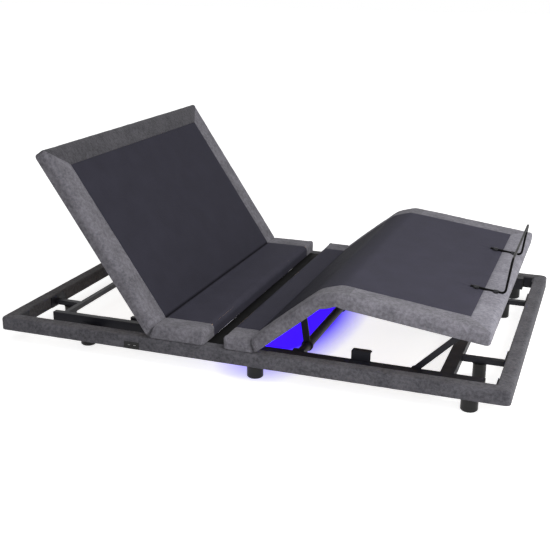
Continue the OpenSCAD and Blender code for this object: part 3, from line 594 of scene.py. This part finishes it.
def timber_material():
    """Plywood: thin plies seen on the edges and long soft grain on the faces."""
    material, tree, shader = new_material("birch_plywood")
    where = on_object(tree)
    long_way = wired(tree, "Mapping", {"Vector": where, "Scale": (3.0, 45.0, 45.0)})
    grain = spread(tree, speckle(tree, long_way.outputs[0], 2.2, 6.0, 0.65), 0.3, 0.7)
    plies = wired(tree, "TexWave", {"Vector": where, "Scale": 105.0, "Distortion": 0.6},
                  bands_direction="Z").outputs["Fac"]
    tone = weighed(tree, (grain, 0.7), (plies, 0.3))
    dark, pale = (0.36, 0.22, 0.11, 1), (0.62, 0.45, 0.27, 1)
    feed(tree, shader, {
        "Base Color": blended(tree, tone, dark, pale), "Normal": bumped(tree, tone, 0.2, 0.0005),
        "Roughness": weighed(tree, (grain, 0.2), base=0.52)})
    return material


def zinc_material():
    """Bright zinc with faint crystals and rolling marks."""
    material, tree, shader = new_material("zinc_plate")
    where = on_object(tree)
    crystals = wired(tree, "TexVoronoi", {"Vector": where, "Scale": 160.0})
    level = wired(tree, "SeparateColor", {"Color": crystals.outputs["Color"]}).outputs[0]
    dark, pale = (0.42, 0.43, 0.45, 1), (0.62, 0.63, 0.65, 1)
    feed(tree, shader, {
        "Base Color": blended(tree, level, dark, pale), "Metallic": 1.0,
        "Roughness": weighed(tree, (level, 0.18), base=0.28),
        "Normal": bumped(tree, speckle(tree, where, 900.0), 0.15, 0.0002)})
    return material


def lamp_material():
    """Violet light strip: small bright cells behind a milky cover."""
    material, tree, shader = new_material("violet_strip")
    cells = wired(tree, "TexWave", {"Vector": on_object(tree), "Scale": 19.0},
                  bands_direction="Y").outputs["Fac"]
    deep, bright = (0.10, 0.02, 0.75, 1), (0.30, 0.14, 1.0, 1)
    feed(tree, shader, {
        "Base Color": (0.5, 0.45, 0.9, 1), "Emission Strength": 4.0,
        "Emission Color": blended(tree, cells, deep, bright),
        "Roughness": weighed(tree, (cells, 0.2), base=0.3)})
    return material


# The suede tones carry painted light and shade: the back's suede is a darker copy of the deck's,
# the calf's a paler one, the back's end border darker still and the calf's end border paler still.
deck_tones = (0.088, 0.085, 0.098, 1), (0.262, 0.252, 0.286, 1)
back_shaded_tones = (0.080, 0.077, 0.089, 1), (0.242, 0.233, 0.264, 1)
back_end_shaded_tones = (0.030, 0.029, 0.034, 1), (0.104, 0.100, 0.114, 1)
calf_lit_tones = (0.105, 0.102, 0.118, 1), (0.315, 0.303, 0.344, 1)
calf_end_lit_tones = (0.156, 0.151, 0.177, 1), (0.416, 0.402, 0.463, 1)
# Levels of painted light and shade on one spun cloth: darker on the thigh, paler on the seats and
# the calf; over the knee and at each fold one level blends into the next.
back_light_level, seat_light_level, thigh_light_level, calf_light_level = 0.97, 1.35, 0.74, 1.68
over_knee, at_fold = (thigh_length - 0.060, thigh_length + 0.110), (-0.002, 0.002)

deck_suede = suede_material("deck_suede", *deck_tones)
back_suede = suede_material("back_suede", *back_shaded_tones,
                            end=(end_border - back_length, -1.0, *back_end_shaded_tones))
calf_suede = suede_material("calf_suede", *calf_lit_tones,
                            end=(calf_length - end_border, 1.0, *calf_end_lit_tones))
# The right and foot rails get a paler copy of the rail suede: painted light.
rail_suede = suede_material("rail_suede", (0.034, 0.033, 0.037, 1), (0.128, 0.124, 0.134, 1))
painted_light_rail_suede = suede_material("painted_light_rail_suede", (0.043, 0.042, 0.049, 1),
                                 (0.162, 0.157, 0.178, 1))
# This suede carries painted shade along the fold line.
crease_shaded_suede = suede_material("deck_suede_creased", *deck_tones, True)
back_cloth = felt_material("back_spun_cloth", back_light_level)
seat_cloth = felt_material("seat_spun_cloth", seat_light_level)
thigh_cloth = felt_material("thigh_spun_cloth", thigh_light_level)
knee_cloth = felt_material("knee_spun_cloth", thigh_light_level, None, (*over_knee, calf_light_level))
calf_cloth = felt_material("calf_spun_cloth", calf_light_level)
# These crease cloths carry painted shade along the fold line.
back_crease_shaded_cloth = felt_material("back_crease_cloth", back_light_level, (0.0050, 0.0140),
                             (*at_fold, seat_light_level))
thigh_crease_shaded_cloth = felt_material("thigh_crease_cloth", seat_light_level, (0.0010, 0.0050),
                              (*at_fold, thigh_light_level))
coated_steel = grained_material("powder_coated_steel", grey(0.010, 1.5), grey(0.032, 1.35), 0.46)
bar_steel = grained_material("dipped_bar_steel", grey(0.004), grey(0.010), 0.34, 1500.0, dull=0.06)
# The centre beam's steel is darker and duller than the coated steel: painted shade in the gap
# between the seats.
shaded_beam_steel = grained_material("matt_black_steel_shaded", grey(0.004), grey(0.010), 0.62, dull=0.07)
screw_steel = grained_material("blackened_screw_steel", grey(0.03, 1.1), grey(0.12), 0.30,
                               1200.0, 0.7)
moulded_black = grained_material("moulded_black_plastic", grey(0.010), grey(0.030), 0.50, 1100.0)
moulded_nylon = grained_material("moulded_nylon", grey(0.035), grey(0.09), 0.46, 500.0)
leg_plastic = grained_material("ribbed_leg_plastic", grey(0.008), grey(0.022), 0.34, 1300.0)
timber, zinc, violet = timber_material(), zinc_material(), lamp_material()


# ---- relief of the covers
def seam_dent(distance):
    return dent(distance, seam_depth, seam_width)


def border_relief(length, across, end_seam=None, end_way=0):
    """Foam under suede: soft hollows, a sewn seam beside the panel, a mitred seam at a corner."""
    away = abs(across) - panel_half
    lift = 0.0007 * rumple(length, across, 0.045, 3.1)
    lift += 0.0004 * rumple(length, across, 0.014, 8.4)
    lift += 0.0006 * smooth(away, 0.006, 0.045)
    beyond = -1 if end_seam is None else (length - end_seam) * end_way
    if beyond < 0:
        return lift + seam_dent(away)
    if abs(across) < panel_half:
        return lift + seam_dent(beyond)
    corner = past_mitre(length, across, end_seam, end_way)
    return lift + dent(corner, 0.0014, 0.0018) + dent(hypot(away, beyond), 0.0018, seam_width)


def panel_relief(length, across, end_seam=None):
    lift = 0.0007 * rumple(length, across, 0.22, 1.7) + 0.0002 * rumple(length, across, 0.05, 5.2)
    lift += seam_dent(panel_half - abs(across))
    return lift if end_seam is None else lift + seam_dent(length - end_seam)


def clamp_pull(length, across):
    """The pull of the retainer clamps on the cloth: short folds that run away from each clamp."""
    lift = 0.0
    for side in (-1, 1):
        dx, dy = length - clamp_along, across - side * clamp_across
        far = hypot(dx, dy)
        if 0.010 < far < 0.13:
            turn = atan2(dy, dx)
            near = exp(-((far - 0.030) / 0.030) ** 2)
            lift += 0.0011 * cos(turn * 7 + side) * near * (0.6 - 0.4 * cos(turn))
    return lift


side_run = [core_half + m for m in fold_steps(0.0)]
border_run = steps(panel_half, core_half, 0.0055)[:-1] + side_run
border_run = [panel_half, panel_half + near_seam, panel_half + off_seam] + border_run[1:]
panel_edge = [panel_half - off_seam, panel_half - near_seam, panel_half]
panel_run = [-t for t in panel_edge] + steps(-panel_half + 0.009, panel_half - 0.009, 0.014)
panel_run = sorted(panel_run + panel_edge)


def both_borders(name, alongs, surface, relief, pattern=None, finish=deck_suede, give=None):
    made = []
    for side, label in ((-1, "right"), (1, "left")):
        run = border_run if side > 0 else [-t for t in reversed(border_run)]
        made.append(cloth(f"{name}_{label}", alongs, run, surface, relief, pattern, finish,
                          give=give))
    return made


def suede_piece(piece, body=None):
    if body:
        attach(piece, body)


def felt_piece(piece, body=None):
    if body:
        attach(piece, body)


def end_steps(end, way, inner):
    """Places along a part towards a closed end, from inside outwards."""
    core = end - way * plan_radius
    return steps(inner, core, 0.008)[:-1] + [core + way * m for m in fold_steps(0.0)]


def ended_cover(label, surface, open_end, end, way, along, across, relief, suede, spun):
    """A border round three sides of a part, mitred at its corners, and the panel within it."""
    seam = end - way * end_border
    stitched = [seam + way * off for off in (-off_seam, -near_seam, 0.0, near_seam, off_seam)]
    round_along = steps(open_end, seam, 0.008)[:-1] + stitched
    round_along = sorted(round_along + end_steps(end, way, seam + way * 0.009))
    round_across = sorted(set([-t for t in border_run] + border_run + panel_run))
    border = cloth(f"{label}_suede_border", round_along, round_across, surface,
                   lambda s, t: border_relief(s, t, seam, way), material=suede,
                   skip=lambda s, t: abs(t) < panel_half and (s - seam) * way < 0,
                   give=slack((open_end,), (end, way), seam))
    suede_piece(border, label)
    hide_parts(f"{label}_border")
    panel = cloth(f"{label}_cloth_panel", along, across, surface, relief, material=spun,
                  give=slack((open_end,), (end, way), seam, panel_give))
    felt_piece(panel, label)
    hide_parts(f"{label}_panel")


def back_cover():
    seam = end_border - back_length
    along = [seam, seam + near_seam, seam + off_seam] + steps(seam + 0.009, -crease_reach, 0.014)
    ended_cover("back", flat_part(on_back, top_of_hinge, low_end=-back_length), -crease_reach,
                -back_length, -1, along, panel_run, lambda s, t: panel_relief(s, t, seam),
                back_suede, back_cloth)


def calf_cover():
    bend = tan(radians(knee_turn) / 2)
    start = knee_radius * bend - top_of_knee * bend + knee_run_in
    seam = calf_length - end_border
    along = steps(start, seam - 0.14, 0.014)[:-1] + steps(seam - 0.14, seam - 0.006, 0.005)
    along += [seam - off_seam, seam - near_seam, seam]
    across = sorted(set(panel_run + steps(-0.36, -0.18, 0.005) + steps(0.18, 0.36, 0.005)))
    ended_cover("calf", flat_part(on_calf, top_of_knee, high_end=calf_length), start,
                calf_length, 1, along, across,
                lambda s, t: panel_relief(s, t, seam) + clamp_pull(s, t), calf_suede, calf_cloth)


def plain_cover(label, surface, along, give, finish, body):
    """Suede on both sides of a part, and a panel of spun cloth between."""
    for piece in both_borders(f"{label}_suede_border", along, surface, border_relief, give=give):
        suede_piece(piece, body)
        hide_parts(f"{label}_border")
    panel = cloth(f"{label}_cloth_panel", along, panel_run, surface, panel_relief,
                  material=finish, give=give)
    felt_piece(panel, body)
    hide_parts(f"{label}_panel")


def seat_cover(label, place, open_end, end, way, body):
    """A narrow seat part, whose cover turns down over its free end."""
    end -= way * end_clearance
    surface = flat_part(place, top_of_hinge, **{"high_end" if way > 0 else "low_end": end})
    along = sorted(end_steps(end, way, open_end))
    plain_cover(label, surface, along, slack((open_end,), (end, way)), seat_cloth, body)


def thigh_cover():
    along = steps(crease_reach, knee_stations()[0][2], 0.008)
    plain_cover("thigh", flat_part(on_thigh, top_of_hinge), along, slack((along[0], along[-1])),
                thigh_cloth, "thigh")


def bending_cover(borders, panel, bodies):
    """Cloth between two bodies, left where it lies in the rest pose."""
    for piece in borders:
        suede_piece(piece)
    felt_piece(panel)
    for piece in borders + [panel]:
        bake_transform(piece)


def crease_stations(head_side, foot_side, turn):
    """Stations through a concave crease, from the head-side part to the foot-side part."""
    half = radians(turn) / 2
    near = top_of_hinge * tan(half)
    valley, groove, groove_width = 0.0016, 0.0022, 0.0060
    reach = crease_reach - near
    axis = crease_axis(head_side, foot_side)
    line = []
    beyond = steps(valley, reach, 0.0010)
    marks = [-x for x in reversed(beyond)] + steps(-valley, valley, 0.00008)[1:-1] + beyond
    for mark in marks:
        place, way = (head_side, -1) if mark < 0 else (foot_side, 1)
        run = abs(mark)
        upper = place(way * (near + run), top_of_hinge)
        sag = groove * exp(-(run / groove_width) ** 2)
        upper = (upper[0] - axis[0] * sag, upper[1] - axis[1] * sag)
        if run < valley:
            share = mark / valley
            lower = fan_point(head_side, foot_side, share)
            length = mark + way * near * run / valley
        else:
            low = crease_reach * (run - valley) / (reach - valley)
            lower = place(way * low, top_of_hinge - deck_thick)
            length = way * (near + run)
        line.append((upper, lower, length))
    return line


def crease_axis(head_side, foot_side):
    centre = head_side(0, 0)
    a, b = head_side(0, 1), foot_side(0, 1)
    d = Vector((a[0] + b[0] - 2 * centre[0], a[1] + b[1] - 2 * centre[1])).normalized()
    return d[0], d[1]


def fan_point(head_side, foot_side, share):
    """The underside between two parts, on an arc about their hinge line."""
    centre = head_side(0, 0)
    a, b = head_side(0, -1), foot_side(0, -1)
    from_a = atan2(a[1] - centre[1], a[0] - centre[0])
    from_b = atan2(b[1] - centre[1], b[0] - centre[0])
    turn = from_a + (from_b - from_a) * (share + 1) / 2
    reach = deck_thick - top_of_hinge
    return centre[0] + reach * cos(turn), centre[1] + reach * sin(turn)


def crease_cover(label, head_side, foot_side, turn, bodies, gathers, cloth_finish):
    """Cloth through a crease, shaped for the rest pose. Its sides lie in small gathers."""
    stations = crease_stations(head_side, foot_side, turn)
    surface = bent_part(stations)
    index = list(range(len(stations)))
    pattern = lambda i: stations[int(i)][2]
    near = top_of_hinge * tan(radians(turn) / 2)
    spread_low = 0.020 * tan(radians(turn) / 2)

    def relief(length, across):
        beside = abs(across) - core_half
        down = smooth(beside, 0.004, 0.020) * (1 - smooth(beside, 0.058, 0.064))
        share = max(-1.0, min(1.0, length / near))
        waver = spread_low * share + length - near * share + 0.0009 * sin(across * 150 + 1.0)
        fan = exp(-(waver / gathers) ** 2)
        wave = cos(2 * pi * waver / gather_pitch) - 0.5
        return border_relief(length, across) + gather_depth * down * fan * wave
    axis = crease_axis(head_side, foot_side)
    borders = both_borders(f"{label}_suede_gather", index, surface, relief, pattern, crease_shaded_suede)
    panel = cloth(f"{label}_cloth_crease", index, panel_run, surface, panel_relief, pattern,
                  cloth_finish)
    middle = Vector((head_side(0, 0)[0], 0, head_side(0, 0)[1]))
    bending_cover(borders, panel, bodies)


def knee_stations():
    """Stations over the knee: a straight run-in, one even curve, a straight run-out."""
    turn = radians(knee_turn)
    run = knee_radius * tan(turn / 2)
    first = thigh_length + (top_of_knee * tan(turn / 2)) - run
    before = first - knee_run_in
    line = [(on_thigh(before, top_of_hinge), on_thigh(before, top_of_hinge - deck_thick), before)]
    centre = on_knee(knee_length / 2, top_of_knee - knee_radius)
    for angle in steps(-turn, turn, turn / 26):
        tilt = radians(knee_tilt) + angle
        nx, nz = sin(tilt), cos(tilt)
        length = first + knee_radius * (angle + turn)
        near_hinge = sum(exp(-(knee_radius * (angle - side * turn / 2) / over_hinge) ** 2)
                         for side in (-1, 1))
        low = knee_radius - deck_thick + knee_padding * near_hinge
        line.append(((centre[0] + knee_radius * nx, centre[1] + knee_radius * nz),
                     (centre[0] + low * nx, centre[1] + low * nz), length))
    last = run - top_of_knee * tan(turn / 2) + knee_run_in
    line.append((on_calf(last, top_of_knee), on_calf(last, top_of_knee - deck_thick),
                 line[-1][2] + knee_run_in))
    return line


def knee_cover():
    """Cloth over the knee, fuller over each hinge so that it covers the boards when flat."""
    stations = knee_stations()
    surface = bent_part(stations)
    middle = len(stations) // 2
    pattern = lambda i: stations[int(i)][2]
    bend = knee_radius * radians(knee_turn)
    over_hinges = [stations[middle][2] + side * bend / 2 for side in (-1, 1)]

    def fuller(relief):
        return lambda s, t: relief(s, t) + sum(
            knee_fullness * exp(-((s - at) / over_hinge) ** 2) for at in over_hinges)

    every = list(range(len(stations)))
    halves = (("upper", every[:middle + 1], "knee_hinge", ("thigh", "knee"), thigh_tilt),
              ("lower", every[middle:], "calf_hinge", ("knee", "calf"), knee_tilt))
    for label, index, joint, bodies, tilt in halves:
        borders = both_borders(f"knee_{label}_suede_border", index, surface,
                               fuller(border_relief), pattern)
        panel = cloth(f"knee_{label}_cloth_panel", index, panel_run, surface,
                      fuller(panel_relief), pattern, knee_cloth)
        at = hinge_line(joint)
        bending_cover(borders, panel, bodies)
        if label == "upper":
            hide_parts("knee_border")
            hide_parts("knee_panel")


# ---- upholstered rails
def rail_profile():
    """Round the rail's section: offset outwards from its middle, height, and facing."""
    half, low, high = rail_half, rail_low, rail_high
    corners = ((half, low, 0.002, -90), (half, high, 0.012, 0), (-half, high, 0.006, 90),
               (-half, low, 0.002, 180))
    line = []
    for x, z, r, start in corners:
        cx, cz = x - r * (1 if x > 0 else -1), z - r * (1 if z > low else -1)
        for i in range(7):
            a = radians(start + 90 * i / 6)
            line.append((cx + r * cos(a), cz + r * sin(a), cos(a), sin(a)))
    filled = []
    for i, here in enumerate(line):
        after = line[(i + 1) % len(line)]
        gap = hypot(after[0] - here[0], after[1] - here[1])
        filled.append(here)
        count = int(gap / 0.007)
        if gap > 0.008:
            stops = [k / (count + 1) for k in range(1, count + 1)]
            if here[2] > 0.9 and after[2] > 0.9:
                stops = sorted(stops + [(pocket_high - here[1]) / gap])
            for k in stops:
                between = [a + (b - a) * k for a, b in zip(here[:2], after[:2])]
                filled.append((*between, here[2], here[3]))
    return filled


def rail_cover(name, along_x, side, node, cloth_finish, pocket=None):
    """Suede wrapped round one rail and sewn to its neighbours on the mitre."""
    profile = rail_profile()
    half_length, half_width = base_half_length, base_half_width
    if not along_x:
        half_length, half_width = half_width, half_length
    fractions = steps(0, 1, 0.008 / (2 * half_length))
    if pocket:
        straight = 2 * half_length - 2 * outer_round
        at_pocket = [(x + half_length - outer_round) / straight for x in pocket]
        fractions = sorted(set(fractions + at_pocket))
    bends = (11, 22, 33, 40, 45)
    stations = [("low", a) for a in reversed(bends)] + [("run", f) for f in fractions]
    stations += [("high", a) for a in bends]
    round_it = [0.0]
    for here, after in zip(profile, profile[1:]):
        round_it.append(round_it[-1] + hypot(after[0] - here[0], after[1] - here[1]))
    points, marks = [], []
    for kind, value in stations:
        for k, (out, z, facing, up) in enumerate(profile):
            length, width = half_length - rail_half + out, half_width - rail_half + out
            round_off = inner_round + added_round * (out + rail_half) / (2 * rail_half)
            if kind == "run":
                along, away = -length + round_off + value * 2 * (length - round_off), width
            else:
                a = radians(value)
                along = (length - round_off + round_off * sin(a)) * (1 if kind == "high" else -1)
                away = width - round_off + round_off * cos(a)
            from_mitre = length - abs(along)
            lift = 0.0004 * rumple(along, out + z, 0.04, 2.0 + side) - 0.0006
            lift += dent(from_mitre, 0.0016, 0.0030)
            away += facing * lift
            x, y = (along, side * away) if along_x else (side * away, along)
            points.append((x, y, z + up * lift))
            marks.append((along + side * 3.0, round_it[k]))
    n = len(profile)
    faces = []
    for i in range(len(stations) - 1):
        for k in range(n):
            a, b = i * n + k, i * n + (k + 1) % n
            c, d = a + n, b + n
            middle = [sum(points[v][axis] for v in (a, b, c, d)) / 4 for axis in range(3)]
            if (pocket and profile[k][2] > 0.7 and middle[1] * side > base_half_width - 0.002
                    and pocket[0] < middle[0] < pocket[1] and pocket_low < middle[2] < pocket_high):
                continue
            faces.append((a, b, d, c) if (side > 0) == along_x else (a, c, d, b))
    piece = finish_mesh(name, points, faces, marks, cloth_finish, 0.0012, bool(pocket))
    suede_piece(piece, "base")
    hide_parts(node)


# ---- small hardware
def revolved(profile, place, turns, tilt):
    """Turned solid: radius and height pairs spun about an axis at a place."""
    turned = Matrix.Translation(place) @ tilt
    points, faces = [], []
    for r, h in profile:
        for i in range(turns):
            a = 2 * pi * i / turns
            points.append(turned @ Vector((r * cos(a), r * sin(a), h)))
    for j in range(len(profile) - 1):
        for i in range(turns):
            a, b = j * turns + i, j * turns + (i + 1) % turns
            faces.append((a, b, b + turns, a + turns))
    faces.append(tuple(reversed(range(turns))))
    faces.append(tuple((len(profile) - 1) * turns + i for i in range(turns)))
    return points, faces


def joined(name, solids, material, body):
    points, faces = [], []
    for more_points, more_faces in solids:
        start = len(points)
        points += more_points
        faces += [tuple(start + v for v in face) for face in more_faces]
    mesh = bpy.data.meshes.new(name)
    mesh.from_pydata(points, [], faces)
    mesh.validate()
    mesh.materials.append(material)
    piece = placed(name, mesh)
    edge = piece.modifiers.new("edges", "EDGE_SPLIT")
    edge.split_angle = radians(35)
    apply_modifiers(piece)
    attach(piece, body)
    return piece


def hex_bolt(place, tilt):
    """A flanged hexagon head with a turned chamfer."""
    flange = (0.0095, 0), (0.0095, 0.0012), (0.0080, 0.0020)
    head = (0.0070, 0.0016), (0.0070, 0.0060), (0.0060, 0.0068), (0.0030, 0.0068)
    return [revolved(flange, place, 28, tilt), revolved(head, place, 6, tilt)]


def frame_bolts():
    """Bolts through the inner faces of the foot side tubes."""
    solids = []
    low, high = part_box("foot_side_tubes")
    z = (low.z + high.z) / 2
    for side in (-1, 1):
        turn = Matrix.Rotation(radians(90) * side, 4, "X")
        for x in bolt_places:
            solids += hex_bolt(Vector((x, side * (high.y - tube_inset), z)), turn)
    joined("frame_bolts", solids, zinc, "base")


def socket_tongues():
    """The contact tongues inside the two charging sockets."""
    low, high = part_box("usb_module")
    z = (low.z + high.z) / 2
    solids = []
    faces = [(0, 1, 3, 2), (4, 6, 7, 5), (0, 4, 5, 1), (2, 3, 7, 6), (0, 2, 6, 4), (1, 5, 7, 3)]
    for x in socket_places:
        points = [Vector((x + a * 0.0048, low.y + b, z + c * 0.0010))
                  for a in (-1, 1) for b in (0.0015, 0.0120) for c in (-1, 1)]
        solids.append((points, faces))
    bright = grained_material("white_socket_plastic", grey(0.55), grey(0.42), 0.35)
    joined("socket_tongues", solids, bright, "base")


def dress_solids():
    """Finishes for the solids that stay as they are, by the ending of their names."""
    finishes = {
        "_board": timber, "_hinges": zinc, "_hinge_leaves": zinc, "_actuator_rod": zinc,
        "retainer_bar": bar_steel, "centre_beam": shaded_beam_steel, "retainer_clamps": screw_steel,
        "_wheels": moulded_nylon, "_rollers": moulded_nylon, "_end_caps": moulded_black,
        "usb_module": moulded_black, "control_box": moulded_black,
        "_actuator_motor": moulded_black, "_legs": leg_plastic, "led_strip": violet}
    for name, solid in frame["nodes"].items():
        if solid.hide_render:
            continue
        fitting = [finish for ending, finish in finishes.items() if name.endswith(ending)]
        finish = fitting[0] if fitting else coated_steel
        solid.data.materials.clear()
        solid.data.materials.append(finish)
        if finish in (coated_steel, moulded_black, leg_plastic, timber):
            eased = solid.modifiers.new("eased_edges", "BEVEL")
            eased.width, eased.segments = 0.0009, 2
            eased.limit_method, eased.angle_limit = "ANGLE", radians(40)


# ---- room, light and camera
def seen_as_backdrop(tree):
    """One where the camera looks straight at it, or sees it in or through something glossy."""
    path = tree.nodes.new("ShaderNodeLightPath").outputs
    mirrored = number(tree, "MAXIMUM", path["Is Glossy Ray"], path["Is Transmission Ray"])
    return number(tree, "MAXIMUM", path["Is Camera Ray"], mirrored)


def floor():
    """A pale floor with a violet pool of light painted on it under the middle of the bed."""
    bpy.ops.mesh.primitive_plane_add(size=60)
    ground = bpy.context.object
    ground.name = "floor"
    material, tree = new_material("pale_floor")[:2]
    where = wired(tree, "Mapping", {"Vector": on_object(tree), "Scale": (3.7, 1.30, 1.0),
                                    "Location": (-0.185, 0.0, 0.0)}).outputs[0]
    # The violet pool is painted light, in the floor's glow and in its colour.
    pool = wired(tree, "TexGradient", {"Vector": where}, gradient_type="SPHERICAL")
    strength = spread(tree, pool.outputs["Fac"], 0.01, 0.52)
    colour = blended(tree, strength, (1, 1, 1, 1), (0.065, 0.012, 1.0, 1))
    glow = wired(tree, "Emission", {"Color": colour, "Strength": 0.80}).outputs[0]
    violet_painted_pool = blended(tree, strength, grey(0.80), (0.03, 0.006, 0.8, 1))
    paint = wired(tree, "BsdfDiffuse", {"Color": violet_painted_pool}).outputs[0]
    lit = wired(tree, "AddShader", {0: glow, 1: paint}).outputs[0]
    mixed = wired(tree, "MixShader", {0: seen_as_backdrop(tree), 1: paint, 2: lit})
    feed(tree, tree.nodes["Material Output"], {0: mixed.outputs[0]})
    ground.data.materials.append(material)


def sky():
    world = bpy.data.worlds.new("studio")
    bpy.context.scene.world = world
    world.use_nodes = True
    tree = world.node_tree
    way = split(tree, tree.nodes.new("ShaderNodeTexCoord").outputs["Generated"])
    soft = spread(tree, way["X"], -1.0, 1.0, 0.06, 0.84)
    strength = spread(tree, seen_as_backdrop(tree), 0.0, 1.0, soft, 1.0)
    feed(tree, tree.nodes["Background"], {"Strength": strength, "Color": (1, 1, 1, 1)})


def soft_lamp(name, place, towards, size, power, colour=(1, 1, 1)):
    lamp = bpy.data.lights.new(name, "AREA")
    lamp.shape, lamp.size, lamp.size_y = "RECTANGLE", size[0], size[1]
    lamp.energy, lamp.color = power, colour
    holder = placed(name, lamp)
    holder.location = place
    holder.rotation_euler = (Vector(towards) - Vector(place)).to_track_quat("-Z", "Y").to_euler()


def lights():
    soft_lamp("foot_key", (3.0, -1.2, 2.6), (0.5, 0, 0.3), (1.8, 1.8), 54)
    soft_lamp("front", (1.8, -3.4, 1.5), (0.3, 0, 0.2), (2.4, 1.6), 28)
    soft_lamp("violet_glow", (-0.042, 0, 0.058), (-0.042, 0, 0), (0.03, 1.0), 2.2,
              (0.16, 0.04, 1.0))


def camera():
    yaw, pitch, roll = -0.3482, 0.3137, 0.0066
    ahead = Vector((sin(yaw) * cos(pitch), cos(yaw) * cos(pitch), -sin(pitch)))
    right = Vector((cos(yaw), -sin(yaw), 0))
    up = right.cross(ahead)
    right, up = right * cos(roll) + up * sin(roll), -right * sin(roll) + up * cos(roll)
    stand = Matrix((right, up, -ahead)).transposed().to_4x4()
    stand.translation = Vector((1.2595, -3.6935, 1.4633))
    lens = bpy.data.cameras.new("camera")
    lens.lens, lens.sensor_width = 62.16, 36
    holder = placed("camera", lens)
    holder.matrix_world = stand
    bpy.context.scene.camera = holder


camera()
sky()
lights()
floor()
back_cover()
seat_cover("seat_a", on_seat_a, crease_reach, seat_a_length, 1, "carriage")
seat_cover("seat_b", on_seat_b, -crease_reach, seat_b_start, -1, "base")
crease_cover("back", on_back, on_seat_a, back_tilt, ("back", "carriage"), 0.013, back_crease_shaded_cloth)
crease_cover("thigh", on_seat_b, on_thigh, -thigh_tilt, ("base", "thigh"), 0.019, thigh_crease_shaded_cloth)
thigh_cover()
knee_cover()
calf_cover()
rail_cover("right_rail_suede", True, -1, "right_rail", painted_light_rail_suede, pocket_ends)
rail_cover("left_rail_suede", True, 1, "left_rail", rail_suede)
rail_cover("head_rail_suede", False, -1, "head_rail", rail_suede)
rail_cover("foot_rail_suede", False, 1, "foot_rail", painted_light_rail_suede)
frame_bolts()
socket_tongues()
settle_covers()
dress_solids()
bpy.context.scene.view_settings.view_transform = "Standard"
